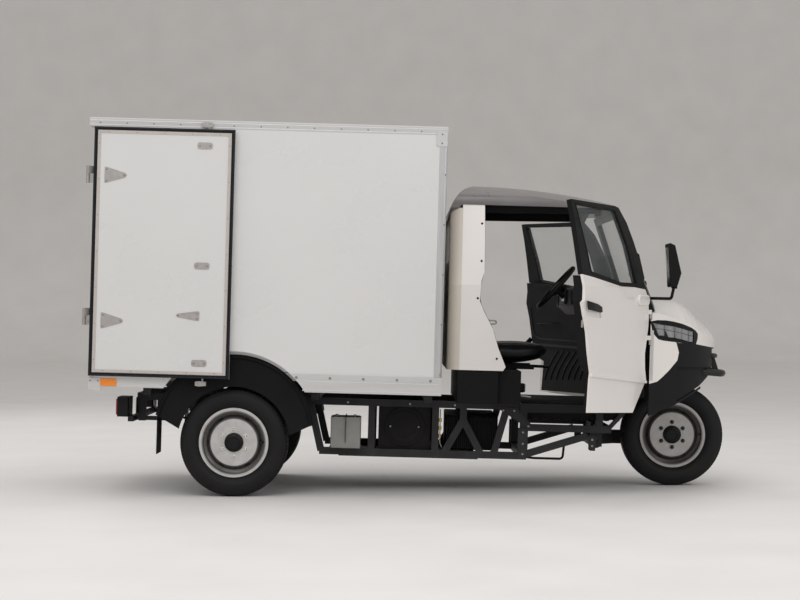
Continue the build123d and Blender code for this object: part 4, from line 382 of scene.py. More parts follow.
def upright_plate(outline, y, thick, edge=1.0):
    """A flat plate that faces out from the right-hand side: its outline in X and Z, risen from y outwards, with
    a small chamfer drawn towards its middle."""
    outline = np.asarray(outline, float)
    middle = outline.mean(axis=0)
    span = np.hypot(*(outline - middle).T).mean()
    inner = middle + (outline - middle) * (1 - edge / span)
    centre = np.broadcast_to(middle, outline.shape)
    rows = np.stack([centre, inner, outline, outline, inner, centre])
    depth = np.array([0, 0, edge, thick - edge, thick, thick])[:, None]
    return spread(rows[..., 0], y - depth, rows[..., 1])


def rounded(centre, width, height, corner, steps=5):
    """Outline of a rectangle with quarter-circle corners."""
    quarter_turn = np.linspace(0, math.pi / 2, steps)
    turns = np.concatenate([quarter_turn + k * math.pi / 2 for k in range(4)])
    sign_x = np.repeat([1, -1, -1, 1], steps)
    sign_z = np.repeat([1, 1, -1, -1], steps)
    x = sign_x * (width / 2 - corner) + corner * np.cos(turns)
    z = sign_z * (height / 2 - corner) + corner * np.sin(turns)
    return np.stack([centre[0] + x, centre[1] + z], axis=-1)


brackets = [
    upright_plate([(1609, 232), (1609, 414), (1667, 414), (1667, 300), (1660, 232)], -440, 5),
    upright_plate([(2018, 300), (2018, 376), (2064, 376), (2058, 292), (2030, 292)], -440, 5),
]
piece("ladder_plates", chassis_paint, both(brackets))

# Frame bolts: zinc-plated domed heads where plates and outriggers are bolted to the ladders. Each is a low
# dome with a rim and a shoulder.
bolt_steel = finish("bolt_steel", (0.32, 0.31, 0.29), 0.4, metal=0.85, mottle=0.2, scale=70)


def studs(centres, axis, radius, height, sides=10):
    """Low domes on their seats: a rim, a shoulder and a crown turned about each centre's axis."""
    axis = np.array(axis, float) / np.linalg.norm(axis)
    aside = np.cross(axis, (0.31, 0.53, 0.79))
    aside /= np.linalg.norm(aside)
    across = np.cross(axis, aside)
    angle = np.linspace(0, 2 * math.pi, sides, endpoint=False)[:, None]
    ring = np.cos(angle) * aside + np.sin(angle) * across
    profile = np.array([(0, -0.3), (1, -0.3), (1, 0.35), (0.75, 0.85), (0, 1)])
    dome = radius * profile[:, 0, None, None] * ring + height * profile[:, 1, None, None] * axis
    return [dome + np.array(centre, float) for centre in centres]


ladder_bolts = [(1638, -445, z) for z in (262, 322, 388)] + [(2040, -445, z) for z in (320, 356)]
ladder_bolts += [(x, -446, z) for x, z in ((1520, 512), (1584, 512), (1668, 424))]
ladder_bolts += [(x, -440, 534) for x in (-430, -180, 240, 620, 980, 1240)]
piece("frame_bolts", bolt_steel, both(studs(ladder_bolts, OUTWARD, 7, 4)))

# Drive controller: a finned cast housing between the ladders, painted black. Its side outline is a shallow
# square wave in plan, risen from the belly plate to below the cab floor.
fin_x = np.linspace(1196, 1494, 75)
fin_wave = 6.0 * (np.arange(75) % 6 < 3)
plan = np.concatenate([
    np.stack([fin_x, -384 + fin_wave], axis=-1),
    np.stack([fin_x[::-1], 384 - fin_wave], axis=-1),
])
plan_middle = plan.mean(axis=0)
inset_plan = plan_middle + (plan - plan_middle) * 0.985
drawn_in = np.broadcast_to(plan_middle, plan.shape)
levels = [(drawn_in, 273), (inset_plan, 273), (plan, 279), (plan, 462), (inset_plan, 470), (drawn_in, 470)]
controller = np.stack([spread(*outline.T, height) for outline, height in levels])
casting_black = finish("casting_black", (0.005, 0.005, 0.006), 0.62, bump=0.35, grain=120, gloss=0.12,
                       dust=0.05)
piece("drive_controller", casting_black, [controller], sharp=30)

# Rear axle, springs and front suspension: forged and welded steel in black paint, dusty and worn in spots.
# The spring leaves have a longer, streaked grain.
axle_black = finish("axle_black", (0.010, 0.0095, 0.0095), 0.52, mottle=0.35, scale=18, bump=0.25, grain=140,
                    gloss=0.2, dust=0.10, wear=0.10)
dress(axle_black, "rear_axle", "front_swing_arm", "steering_knuckle")
dress(finish("spring_steel", (0.014, 0.013, 0.012), 0.56, mottle=0.4, scale=6, stretch=(0.2, 1, 3), bump=0.2,
             gloss=0.2, dust=0.12), "leaf_springs")

# Spring clamps: U-bolts bent from round bar over each spring and down to the axle pad.
# Each is a bar carried along a path of straight runs whose corners are rounded by averaging.


def bent(points, steps=40, soft=5):
    """A path of straight runs, evenly spaced; its corners are rounded by a moving average of its places."""
    points = np.asarray(points, float)
    length = np.concatenate([[0], np.cumsum(np.linalg.norm(np.diff(points, axis=0), axis=1))])
    even = np.linspace(0, length[-1], steps)
    path = np.stack([np.interp(even, length, points[:, axis]) for axis in range(3)], axis=-1)
    padded_path = np.concatenate([np.repeat(path[:1], soft, axis=0), path, np.repeat(path[-1:], soft, axis=0)])
    window = np.ones(2 * soft + 1) / (2 * soft + 1)
    return np.stack([np.convolve(padded_path[:, axis], window, "valid") for axis in range(3)], axis=-1)


def swept(path, outline, up=UP, caps=True):
    """An outline carried along a path: it stands across the path's direction, with its second axis towards up.
    The ends are drawn together to a point, which closes them."""
    path = np.asarray(path, float)
    ahead = np.gradient(path, axis=0)
    ahead /= np.linalg.norm(ahead, axis=1, keepdims=True)
    side = np.cross(np.asarray(up, float), ahead)
    side /= np.linalg.norm(side, axis=1, keepdims=True)
    lift = np.cross(ahead, side)
    outline = np.asarray(outline, float)
    grid = path[:, None] + outline[:, 0, None] * side[:, None] + outline[:, 1, None] * lift[:, None]
    if not caps:
        return grid
    first, last = (np.repeat(end, len(outline), 1) for end in (path[:1, None], path[-1:, None]))
    return np.concatenate([first, grid, last])


def straight(start, end, steps, outline, up=UP):
    """An outline carried along a straight run."""
    return swept(np.linspace(start, end, steps), outline, up)


def circle(radius, sides=12):
    """Outline of a round bar."""
    angle = np.linspace(0, 2 * math.pi, sides, endpoint=False)
    return radius * np.stack([np.cos(angle), np.sin(angle)], axis=-1)


def bar(across, high):
    """Outline of a flat bar, by its half sizes."""
    return [(-across, -high), (across, -high), (across, high), (-across, high)]


def hoop(x, y, z, radius, sides, thick):
    """A round bar bent to a closed ring that faces along X."""
    turn = circle(radius, sides)
    return swept(closed_row(spread(x, y + turn[:, 0], z + turn[:, 1])), circle(thick, 8), AHEAD, caps=False)


AXLE_X, AXLE_Z = -TYRE_R * math.sin(LEAN), TYRE_R * math.cos(LEAN)
SPRING_TOP = AXLE_Z + 50 + 27
clamp_path = [(-453, AXLE_Z + 20), (-453, SPRING_TOP + 8), (-387, SPRING_TOP + 8), (-387, AXLE_Z + 20)]
u_bolts = [
    swept(bent([(AXLE_X + dx, y, z) for y, z in clamp_path], 48, 3), circle(5.5, 10), AHEAD) for dx in (-32, 32)
]
piece("spring_clamps", bolt_steel, both(u_bolts))

# Traction battery: a steel case between the ladders, black paint, whose round side covers are pressed with a
# ring and held by two bolts.
battery_black = finish("battery_black", (0.006, 0.006, 0.0065), 0.55, mottle=0.25, bump=0.2, gloss=0.15,
                       dust=0.06)
dress(battery_black, "battery_box")
cover_bolts = [(951 + dx, -413, 400) for dx in (-82, 82)]
piece("battery_cover_bolts", bolt_steel, both(studs(cover_bolts, OUTWARD, 6, 4)))

# Low-voltage battery: a grey moulded case with two ribs on its lid and two posts. A steel strap that is bent
# over the lid holds it down.
battery_case = finish("battery_case", (0.30, 0.30, 0.29), 0.5, mottle=0.08, scale=20, bump=0.15, dust=0.2)
dress(battery_case, "service_battery")
CASE_TOP = 451.0
posts = studs([(560, -470, CASE_TOP), (664, -470, CASE_TOP)], UP, 12, 16, 14)
strap_path = [(-508.5, 300), (-513, CASE_TOP - 4), (-505, CASE_TOP + 2), (-335, CASE_TOP + 2),
              (-327, CASE_TOP - 4), (-331.5, 300)]
strap_outline = [(-11, -1), (11, -1), (11, 1.2), (-11, 1.2)]
strap = swept(bent([(612, y, z) for y, z in strap_path], 60, 2), strap_outline, AHEAD)
lid_ribs = [straight((534, y, CASE_TOP + 1), (690, y, CASE_TOP + 1), 8, circle(2.5, 8)) for y in (-490, -350)]
piece("battery_posts", bolt_steel, posts)
piece("battery_hold_down", battery_black, [strap] + lid_ribs)

# Brake line: a steel pipe down the ladder post behind the cab, bent forward at its foot. Three hexagonal brass
# unions join its lengths.
brass = finish("brass", (0.50, 0.36, 0.14), 0.32, metal=0.9, mottle=0.2, scale=60)
PIPE_X, PIPE_Y = 1157, -437
pipe_line = ((PIPE_X, 516), (PIPE_X, 340), (PIPE_X, 300), (PIPE_X + 18, 285))
pipe_path = bent([(x, PIPE_Y, z) for x, z in pipe_line], 30, 3)
piece("brake_pipe", bolt_steel, [swept(pipe_path, circle(3.5, 10), LEFT)])
unions = [
    straight((PIPE_X, PIPE_Y, z - 11), (PIPE_X, PIPE_Y, z + 11), 5, circle(8.5, 6), LEFT)
    for z in (446, 399, 354)
]
piece("brake_unions", brass, unions, sharp=25)

# Under the cab floor: a black moulded tray with cross ribs that closes the space above the front beams, and a
# bent guard rod below the swing arm's rail.
TRAY_HALF, TRAY_TOP, TRAY_FOOT, TRAY_RIB = 392, 546, 470, 7.0
tray_x = np.linspace(1664, 2200, 68)
tray_low = TRAY_FOOT - TRAY_RIB * (np.arange(68) % 8 < 4)
tray_sides = ((-TRAY_HALF, tray_low), (-TRAY_HALF, TRAY_TOP), (TRAY_HALF, TRAY_TOP), (TRAY_HALF, tray_low))
tray = np.stack([spread(tray_x, y, z) for y, z in tray_sides], axis=1)
moulding_black = finish("moulding_black", (0.0060, 0.0060, 0.0065), 0.6, mottle=0.15, bump=0.35, grain=420,
                        gloss=0.14)
piece("floor_tray", moulding_black, [capped(tray)], sharp=30)
guard = swept(bent([(1648, -428, 246), (1700, -428, 240), (1872, -428, 240), (1878, -428, 318)], 50, 3),
              circle(7, 12), LEFT)
piece("guard_rod", moulding_black, [guard])

# Wheel arches: moulded black liners with a mudflap, grained and blotchy, with dust low down. A rounded bead runs
# along each liner's outer edge.
arch_black = finish("arch_black", (0.005, 0.005, 0.0055), 0.62, mottle=0.3, scale=6, bump=0.4, grain=300,
                    gloss=0.12, dust=0.04)
dress(arch_black, "rear_fenders", "front_arch")
ARCH_Z, BEAD_R, GAP_PLATE_R, GAP_PLATE_CLEAR = AXLE_Z + 45, 436, 452, 12.0
arc = np.radians(np.linspace(9, 167, 60))


def arch_line(middle_z, radius, y):
    """Places on an arc about a middle over the axle, at one distance from the vehicle's middle."""
    return spread(AXLE_X + radius * np.cos(arc), y, middle_z + radius * np.sin(arc))


arch_bead = swept(arch_line(ARCH_Z, BEAD_R, -788), circle(5.5, 10), LEFT)
piece("arch_beads", arch_black, both([arch_bead]))

# Arch gap plates: flat black plates that close each arch between its bead and the tyre: painted shade for the
# dark gap round the tyre, and partly the black liner that shows behind it. The outer edge is an arc about the
# arch's centre; the inner edge is an arc about the axle, 12 mm clear of the tread.
inner_edge, outer_edge = (AXLE_Z, TYRE_R + GAP_PLATE_CLEAR), (ARCH_Z, GAP_PLATE_R)
gap_plate_corners = ((inner_edge, -776.0), (outer_edge, -780.0), (outer_edge, -774.0), (inner_edge, -770.0))
gap_plate_sheet = np.stack([arch_line(*edge, y) for edge, y in gap_plate_corners], axis=1)
# Painted shade: these black plates fill the arch gap, partly standing for the black liner behind it.
piece("arch_gap_shade_plates", arch_black, both([capped(gap_plate_sheet)]))

# Tail lamps: black moulded housings with a three-part red, amber and clear lens that faces the rear. The lens
# plates are ribbed fine for the light to scatter.
lamp_housing = finish("lamp_housing", (0.007, 0.007, 0.007), 0.5, bump=0.25, gloss=0.2, dust=0.05)
dress(lamp_housing, "tail_lamps")
LAMP_BACK = -689.0


def facing_back(grids, x):
    """Plates drawn as if seen from the rear: their X becomes distance to the left, and they rise towards -X."""
    return [spread(x + grid[..., 1], grid[..., 0], grid[..., 2]) for grid in grids]


lens_bump = dict(rough=0.16, coat=0.6, bump=0.5, grain=260, mottle=0.1)
for lens_name, colour, middle, width in [
    ("stop_lens", (0.34, 0.010, 0.012), -590, 70),
    ("turn_lens", (0.72, 0.20, 0.015), -526, 48),
    ("reverse_lens", (0.62, 0.62, 0.62), -474, 42),
]:
    lens = facing_back([upright_plate(rounded((middle, 481), width, 92, 9), 0, 7, 2.5)], LAMP_BACK + 0.6)
    piece(lens_name + "es", finish(lens_name, colour, **lens_bump), both(lens))

# Rear plate carrier: a bare white plate on a black moulded holder below the rear cross member. Its rim is
# pressed up as a thin bead.
plate_white = finish("plate_white", (0.62, 0.62, 0.60), 0.35, mottle=0.04, scale=20, bump=0.08)
holder = facing_back([upright_plate(rounded((0, 452), 340, 130, 10), 0, 8, 2)], -636)
bare_plate = facing_back([upright_plate(rounded((0, 452), 318, 110, 8), 0, 3, 1)], -644)
rim_path = closed_row(spread(-647.0, *rounded((0, 452), 306, 98, 6, 8).T))
piece("plate_holder", moulding_black, holder)
piece("bare_plate", plate_white,
      bare_plate + [swept(rim_path, circle(1.6, 8), AHEAD, caps=False)])

# Box panels: insulated sandwich panels with a white gelcoat, faintly rippled, a little dirty along the foot.
# Roof, posts and skirts are satin aluminium sections, drawn lengthwise.
panel_white = finish("panel_white", (0.66, 0.655, 0.65), 0.3, mottle=0.012, scale=2.2, bump=0.05, grain=40,
                     coat=0.25, dust=0.10)
dress(panel_white, "box_sides", "box_front_wall", "rear_leaf_left", "rear_leaf_right")
section_metal = finish("section_metal", (0.58, 0.575, 0.57), 0.34, metal=0.35, mottle=0.04, scale=30,
                       stretch=(0.05, 1, 1), bump=0.12, grain=260)
dress(section_metal, "box_skirts", "box_rear_frame")
roof_sheet = finish("roof_sheet", (0.53, 0.525, 0.52), 0.6, mottle=0.03, scale=3, bump=0.1, grain=60,
                    gloss=0.25)
dress(roof_sheet, "box_roof")
upright_metal = finish("upright_metal", (0.54, 0.54, 0.545), 0.34, metal=0.4, mottle=0.05, scale=30,
                       stretch=(1, 1, 0.05), bump=0.12, grain=260)
dress(upright_metal, "corner_posts")
BOX_REAR, BOX_HALF = -830.0, 800.0
SKIRT_OUT = -(BOX_HALF + 12)
half_round = [(-3, 0), (-2.4, 1.3), (0, 2), (2.4, 1.3), (3, 0), (0, -1)]
lying_round = [(rise, across) for across, rise in half_round]
ridges = [
    straight((x0, y, z), (x1, y, z), steps, lying_round)
    for z, x0, x1, y, steps in (
        (612, -750, -386, SKIRT_OUT, 6),
        (662, -750, -360, SKIRT_OUT, 6),
        (612, 372, 1146, SKIRT_OUT, 6),
        (662, 340, 1146, SKIRT_OUT, 6),
        (2068, -856, 1146, -BOX_HALF, 12),
        (2092, -856, 1146, -BOX_HALF, 12),
    )
]
post_lines = [
    straight((x, -BOX_HALF, 704), (x, -BOX_HALF, 2056), 6, half_round, OUTWARD) for x in (1108, 1120, 1132)
]
piece("section_ridges", section_metal, both(ridges))
piece("post_ridges", upright_metal, both(post_lines))

# Rivets: aluminium rivets with domed heads along the skirts, the roof rail and the posts. Further ones run
# round the rear frame and face the rear.
rivet_metal = finish("rivet_metal", (0.26, 0.255, 0.25), 0.35, metal=0.6, mottle=0.1, scale=80)
skirt_rivets = [(x, SKIRT_OUT, 683) for x in (-600, -412, 337, 525, 712, 900, 1088)]
rail_rivets = [(x, -BOX_HALF, 2080) for x in range(-800, 1150, 150)]
post_rivets = [(1140, -BOX_HALF, z) for z in (720, 1000, 1280, 1560, 1840, 2034)]
side_rivets = studs(skirt_rivets, OUTWARD, 7.5, 4, 12) + studs(rail_rivets + post_rivets, OUTWARD, 4.5, 2.2, 8)
frame_places = [(BOX_REAR, y, z) for y in (-778, 778) for z in range(700, 2060, 190)]
frame_places += [(BOX_REAR, y, 626) for y in range(-700, 701, 200)]
frame_rivets = studs(frame_places, (-1, 0, 0), 4, 1.8, 8)
piece("box_rivets", rivet_metal, both(side_rivets) + frame_rivets)

# Corner caps: cast plates over the ends of the sections, at the top front corner and at the foot of the rear
# corner, where an amber side reflector is fixed beside them.
caps = [
    upright_plate(rounded((1117, 2040), 62, 88, 8), -BOX_HALF, 3.5, 1.2),
    upright_plate([(-829, 650), (-829, 596), (-821, 582), (-806, 577), (-757, 577), (-757, 650)], SKIRT_OUT, 4,
                  1.2),
]
screw_places = [(1117, -803.5, 2066), (1117, -803.5, 2016), (-772, -816, 634), (-816, -816, 634)]
piece("corner_caps", section_metal, both(caps))
piece("cap_screws", rivet_metal, both(studs(screw_places, OUTWARD, 5, 2.5)))
reflector = [upright_plate(rounded((-714, 627), 92, 42, 3), SKIRT_OUT, 6, 1.5)]
amber_prism = finish("amber_prism", (0.86, 0.24, 0.01), 0.2, coat=0.7, mottle=0.12, scale=160, bump=0.6,
                     grain=420)
piece("side_reflectors", amber_prism, both(reflector))

# Box inside: a floor of aluminium plank, scuffed along its length. A flat aluminium kicking strip runs along
# the foot of each side wall.
dress(finish("plank_metal", (0.42, 0.42, 0.42), 0.42, metal=0.6, mottle=0.12, scale=14, stretch=(0.15, 1, 1),
             bump=0.5, grain=90, wear=0.1), "box_floor")
kick = straight((-780, -768.5, 770), (1116, -768.5, 770), 8, bar(1.2, 60))
piece("kick_strips", section_metal, both([kick]))

# Rear leaves: both stand open against the box sides. Inside the black seal runs a riveted aluminium strip, and
# strap plates and small slotted plates back the hinges and the lock rods.
seal_black = finish("seal_black", (0.007, 0.007, 0.008), 0.52, mottle=0.15, gloss=0.2)
dress(seal_black, "leaf_gasket_left", "leaf_gasket_right")
fitting_steel = finish("fitting_steel", (0.40, 0.385, 0.37), 0.38, metal=0.75, mottle=0.15, scale=50, bump=0.1)
dress(fitting_steel, "leaf_hardware_left", "leaf_hardware_right", "hinge_posts")
LEAF_FACE = -835.0
LEAF_PIN = (-858.5, -825.5)
LEAF_SPAN = (-790.0, -5.0, 662.0, 2054.0)


def leaf_place(side):
    """Leaf to frame: a closed right-hand leaf, turned 270 degrees about its pin, and mirrored for the left."""

    def place(points):
        x, y, z = parted(points)
        open_x = LEAF_PIN[0] + (y - LEAF_PIN[1])
        open_y = LEAF_PIN[1] - (x - LEAF_PIN[0])
        return body_place(spread(open_x, -side * open_y, z))

    return place


def on_leaf(outline, thick, edge=0.8, at=LEAF_FACE - 2):
    """A plate on the leaf's inner face: its outline in Y and Z, risen forward."""
    flat = upright_plate(outline, 0, thick, edge)
    return spread(at - flat[..., 1], flat[..., 0], flat[..., 2])


def leaf_studs(places, radius, height, sides=10):
    """Low domes on the leaf's inner face, at places in Y and Z."""
    return studs([(LEAF_FACE + 0.2, y, z) for y, z in places], AHEAD, radius, height, sides)


y0, y1, z0, z1 = LEAF_SPAN[0] + 22, LEAF_SPAN[1] - 22, LEAF_SPAN[2] + 22, LEAF_SPAN[3] - 22
STRIP = 15.0
strips = [
    [(y0, z0), (y1, z0), (y1 - STRIP, z0 + STRIP), (y0 + STRIP, z0 + STRIP)],
    [(y0, z1), (y1, z1), (y1 - STRIP, z1 - STRIP), (y0 + STRIP, z1 - STRIP)],
    [(y0, z0), (y0, z1), (y0 + STRIP, z1 - STRIP), (y0 + STRIP, z0 + STRIP)],
    [(y1, z0), (y1, z1), (y1 - STRIP, z1 - STRIP), (y1 - STRIP, z0 + STRIP)],
]
edge_strips = [on_leaf(outline, 3.0, 1.2) for outline in strips]
rivet_places = [(y, z) for y in np.linspace(y0 + 60, y1 - 60, 5) for z in (z0 + 8, z1 - 8)]
rivet_places += [(y, z) for z in np.linspace(z0 + 70, z1 - 70, 7) for y in (y0 + 8, y1 - 8)]
PLATE_THICK = 2.2
outlines, plate_screws = [], []
for z in (1784, 972):
    outlines.append([(-728, z - 44), (-728, z + 44), (-716, z + 44), (-612, z + 12), (-603, z), (-612, z - 12),
                     (-716, z - 44)])
    plate_screws += [(-716, z - 32), (-716, z + 32), (-618, z)]
outlines.append([(-178, 986), (-178, 1034), (-190, 1037), (-300, 1021), (-309, 1011), (-300, 1001),
                 (-190, 983)])
plate_screws += [(-191, 1024), (-191, 996), (-297, 1011)]
for y, z in ((-172, 1960), (-172, 1290), (-174, 747)):
    outlines.append(rounded((y, z), 86, 38, 14))
    plate_screws += [(y - 28, z), (y + 28, z)]
backing_plates = [on_leaf(outline, PLATE_THICK) for outline in outlines]
leaf_rivets = leaf_studs(rivet_places, 3.5, 1.6, 8) + leaf_studs(plate_screws, 6, 2.2)
lip_line = rounded(((LEAF_SPAN[0] + LEAF_SPAN[1]) / 2, (LEAF_SPAN[2] + LEAF_SPAN[3]) / 2),
                   LEAF_SPAN[1] - LEAF_SPAN[0] - 12, LEAF_SPAN[3] - LEAF_SPAN[2] - 12, 10, 6)
lip_path = closed_row(spread(LEAF_FACE, *lip_line.T))
seal_lip = [swept(lip_path, [(-4, 0), (-2.5, 2.4), (0, 3), (2.5, 2.4), (4, 0), (0, -1)], AHEAD, caps=False)]
cams = [
    on_leaf([(-176, z - 16), (-197, z - 12), (-197, z + 12), (-176, z + 16), (-134, z + 12), (-134, z - 12)],
            9, 2, -876)
    for z in (2080, 632)
]
seal_gloss = finish("seal_gloss", (0.008, 0.009, 0.012), 0.32, gloss=0.35, mottle=0.15)
plate_zinc = finish("plate_zinc", (0.40, 0.375, 0.36), 0.42, metal=0.45, mottle=0.1, scale=40, bump=0.1)
edge_cream = finish("edge_cream", (0.50, 0.455, 0.42), 0.35, metal=0.1, mottle=0.04, scale=20)
for side, label in ((-1, "right"), (1, "left")):
    for name, slot, material, grids in (
        ("edge_strips_", "box_trim", edge_cream, edge_strips),
        ("strip_rivets_", "box_trim", rivet_metal, leaf_rivets),
        ("backing_plates_", "fittings_steel", plate_zinc, backing_plates),
        ("seal_lip_", "leaf_seal", seal_gloss, seal_lip),
        ("rod_cams_", "fittings_steel", fitting_steel, cams),
    ):
        piece(name + label, material, grids, "rear_leaf_" + label, leaf_place(side))

# Cab shell: pressed white panels in gloss paint, and a roof moulding in dark metallic grey. The inner wall
# behind the seat, with its rounded rear corners, is white painted beige: painted shade.
cab_white = finish("cab_white", (0.77, 0.735, 0.71), 0.2, coat=0.6, mottle=0.012, scale=3, bump=0.02, grain=60)
dress(cab_white, "cab_sides", "hood", "front_fenders", "door_skin_left", "door_skin_right")
# The rear wall is white; its beige colour here is painted shade.
dress(finish("rear_wall_painted_shade", (0.60, 0.55, 0.48), 0.4, mottle=0.03, scale=5, bump=0.06), "cab_rear_wall")
roof_grey = finish("roof_grey", (0.155, 0.145, 0.145), 0.33, metal=0.35, coat=0.3, mottle=0.1, scale=5,
                   bump=0.04)
dress(roof_grey, "cab_roof")
SKIN_Z = np.array([512.0, 770.0, 1050.0, 1230.0, 1690.0])
SKIN_Y = np.array([656.0, 674.0, 680.0, 678.0, 586.0])


def skin_y(z):
    """Distance of the cab's side skin from the middle, between its measured heights."""
    return np.interp(z, SKIN_Z, SKIN_Y)


# Door opening: black rubber stops pressed into the white panel, a round rubber seal along its front edge, and a
# bright striker bow for the door latch.
rubber_black = finish("rubber_black", (0.005, 0.005, 0.005), 0.6, bump=0.15, gloss=0.16)
stop_places = [(1361, 1582), (1362, 1367), (1345, 1155), (1462, 815)]
stops = studs([(x, -skin_y(z) - 0.5, z) for x, z in stop_places], OUTWARD, 6.5, 3)
edge_line = [(1375, 1680), (1380, 1483), (1380, 1305), (1364, 1256), (1358, 1140), (1384, 1080), (1436, 985),
             (1468, 880), (1512, 772)]
edge_path = bent([(x - 1, -skin_y(z) + 22, z) for x, z in edge_line], 80, 2)
edge_seal = [swept(edge_path, circle(3.2, 10), LEFT)]
striker_path = bent([(1398, -664, 1032), (1400, -596, 1032), (1458, -596, 1030), (1458, -596, 1012),
                     (1400, -596, 1010), (1398, -664, 1010)], 60, 2)
striker = [swept(striker_path, circle(4, 10), (0.1, 0.1, 1))]
piece("panel_stops", rubber_black, both(stops))
piece("opening_seals", rubber_black, both(edge_seal))
piece("latch_strikers", bolt_steel, both(striker))

# Headliner: black moulded rails under the roof's side edges, and a crowned lining between them. The lining
# follows the roof's two arcs, 28 mm lower.
ROOF_CROWN, ROOF_TOP_X, ROOF_SKIN = 1828.0, 1340.0, 20
ROOF_LONG, ROOF_CROSS = 7576.0, 4880.0


def roof_under(x, y, below):
    """Height of the roof's underside: its two arcs, lowered by the skin and a further distance."""
    fall_back = (np.asarray(x, float) - ROOF_TOP_X) ** 2 / ROOF_LONG
    fall_aside = np.asarray(y, float) ** 2 / ROOF_CROSS
    return ROOF_CROWN - ROOF_SKIN - below - fall_back - fall_aside


rail_x = np.linspace(1262, 2036, 24)[:, None]
rail_corners = np.array([(-502, 0.0), (-498, -0.03), (-482, -0.03), (-478, 0.0), (-478, 1.0), (-502, 1.0)])
rail_low = 1656 + 0.012 * (rail_x - 1500)
rail_z = rail_low + (roof_under(rail_x, 490, 3) - rail_low) * rail_corners[None, :, 1]
rails = [capped(spread(rail_x, rail_corners[None, :, 0], rail_z))]
lining_x = np.linspace(1345, 2030, 30)[:, None]
lining_y = np.linspace(-476, 476, 24)[None]
lining_top = spread(lining_x, lining_y, roof_under(lining_x, lining_y, 8))


def slab(top, depth):
    """A sheet of points given a thickness: it turns back under itself, and its end rows are drawn together."""
    under = (top + np.asarray(depth, float))[:, ::-1]
    return capped(np.concatenate([top, under], axis=1))


headliner_black = finish("headliner_black", (0.009, 0.009, 0.010), 0.64, mottle=0.1, bump=0.3, grain=500,
                         gloss=0.16)
header_y = np.linspace(-500, 500, 20)
cross_headers = [
    swept(spread(x, header_y, roof_under(x, header_y, drop)), outline)
    for x, drop, outline in (
        (2034, 24, [(-14, -22), (14, -22), (14, 14), (-14, 18)]),
        (1270, 30, [(-12, -26), (12, -26), (12, 22), (-12, 22)]),
    )
]
piece("roof_rails", headliner_black, both(rails) + cross_headers)
piece("roof_lining", headliner_black, [slab(lining_top, (0, 0, -4))])

# Cab floor: painted black steel under a ribbed rubber mat. The mat's height is a row of rounded ribs that run
# fore and aft.
floor_black = finish("floor_black", (0.008, 0.008, 0.008), 0.55, mottle=0.3, scale=10, bump=0.3, gloss=0.18,
                     dust=0.03)
MAT_TOP, MAT_THICK, MAT_RIB, MAT_PITCH = 565.0, 2.6, 1.6, 24
dress(floor_black, "cab_floor")
mat_x = np.linspace(1622, 2116, 12)[:, None]
mat_y = np.linspace(-540, 540, 361)[None]
mat_z = MAT_TOP + MAT_RIB * np.abs(np.sin(mat_y * math.pi / MAT_PITCH))
mat = slab(spread(mat_x, mat_y, mat_z), (0, 0, -MAT_THICK))
piece("floor_mat", rubber_black, [mat])

# Seat box: black painted steel, with a parking-brake lever and the seat's slide handle. A round moulded part on
# its front is taken for a charging socket.
dress(moulding_black, "seat_base")
SEAT_FRONT, SOCKET_Y, SOCKET_Z = 1606.0, -560, 650
socket_profile = np.array([(0, 0), (27, 0), (27, 18), (23, 26), (17, 27), (15, 20), (0, 19)])
socket_x, socket_out, socket_z = parted(lathe(socket_profile, 24))
socket = spread(SEAT_FRONT + socket_out, SOCKET_Y + socket_x, SOCKET_Z + socket_z)
socket_ring = hoop(SEAT_FRONT + 27.0, SOCKET_Y, SOCKET_Z, 21, 24, 3)
foot = straight((SEAT_FRONT, SOCKET_Y, 606), (1668, SOCKET_Y, 600), 5, bar(16, 3))
slide_handle = swept(bent([(1600, -120, 764), (1790, -120, 760), (1800, -120, 760), (1800, 120, 760),
                           (1600, 120, 764)], 60, 3), circle(6, 10))
brake_lever = swept(bent([(1560, 250, 740), (1610, 262, 800), (1700, 262, 900)], 30, 3), circle(9, 12), LEFT)
brake_grip = straight((1660, 262, 855), (1722, 262, 924), 10, circle(14, 14), LEFT)
piece("charge_socket", moulding_black, [socket])
piece("socket_ring", plate_zinc, [socket_ring, foot])
piece("seat_handle", moulding_black, [slide_handle, brake_lever, brake_grip])

# Seat: a foam cushion and backrest under a black grained cover with sewn channels, on slides. Each starts as a
# rounded block a little smaller than its place, is swelled as cloth under pressure, and then gets its channels.
seat_cover = finish("seat_cover", (0.009, 0.009, 0.010), 0.4, mottle=0.12, scale=30, bump=0.5, grain=380,
                    gloss=0.3)
SEAT_VOXEL = 0.006
SEAT_PRESSURE = 4.0
SWELL_CAP = 0.010
SWELL_FRAMES = 20
CHANNEL_DEEP = CHANNEL_WIDE = 0.005
CHANNELS = (-0.16, -0.08, 0.0, 0.08, 0.16)
CUSHION_TOP, CUSHION_HIGH = 886, 102
NOSE_START, NOSE_RUN, NOSE_LIFT = 1480, 320, 44


def pad_block(low, high, lean, roundness=5.0, dome=0.0):
    """A rounded block: the directions of a sphere, stretched to a superellipsoid between two corners. Its X
    leans with height, and its top is raised by a dome that falls off to the sides."""
    tilt = np.linspace(-math.pi / 2, math.pi / 2, 41)[:, None]
    turn = np.linspace(0, 2 * math.pi, 80, endpoint=False)[None]
    ray = spread(np.cos(tilt) * np.cos(turn), np.cos(tilt) * np.sin(turn), np.sin(tilt))
    ray = ray / (np.abs(ray) ** roundness).sum(axis=-1, keepdims=True) ** (1 / roundness)
    low, high = np.array(low, float), np.array(high, float)
    grid = (low + high) / 2 + ray * (high - low) / 2
    share = (grid[..., 2] - low[2]) / (high[2] - low[2])
    grid[..., 0] += lean * share
    grid[..., 2] += dome * share * (1 - ray[..., 1] ** 2) * (1 - ray[..., 0] ** 2)
    return grid


def wedge(grid):
    """The cushion's underside rises towards its nose: low points lift with the square of the way forward."""
    x, y, z = parted(grid)
    ahead = np.clip((x - NOSE_START) / NOSE_RUN, 0, 1)
    low_part = np.clip((CUSHION_TOP - z) / CUSHION_HIGH, 0, 1)
    return spread(x, y, z + NOSE_LIFT * ahead**2 * low_part)


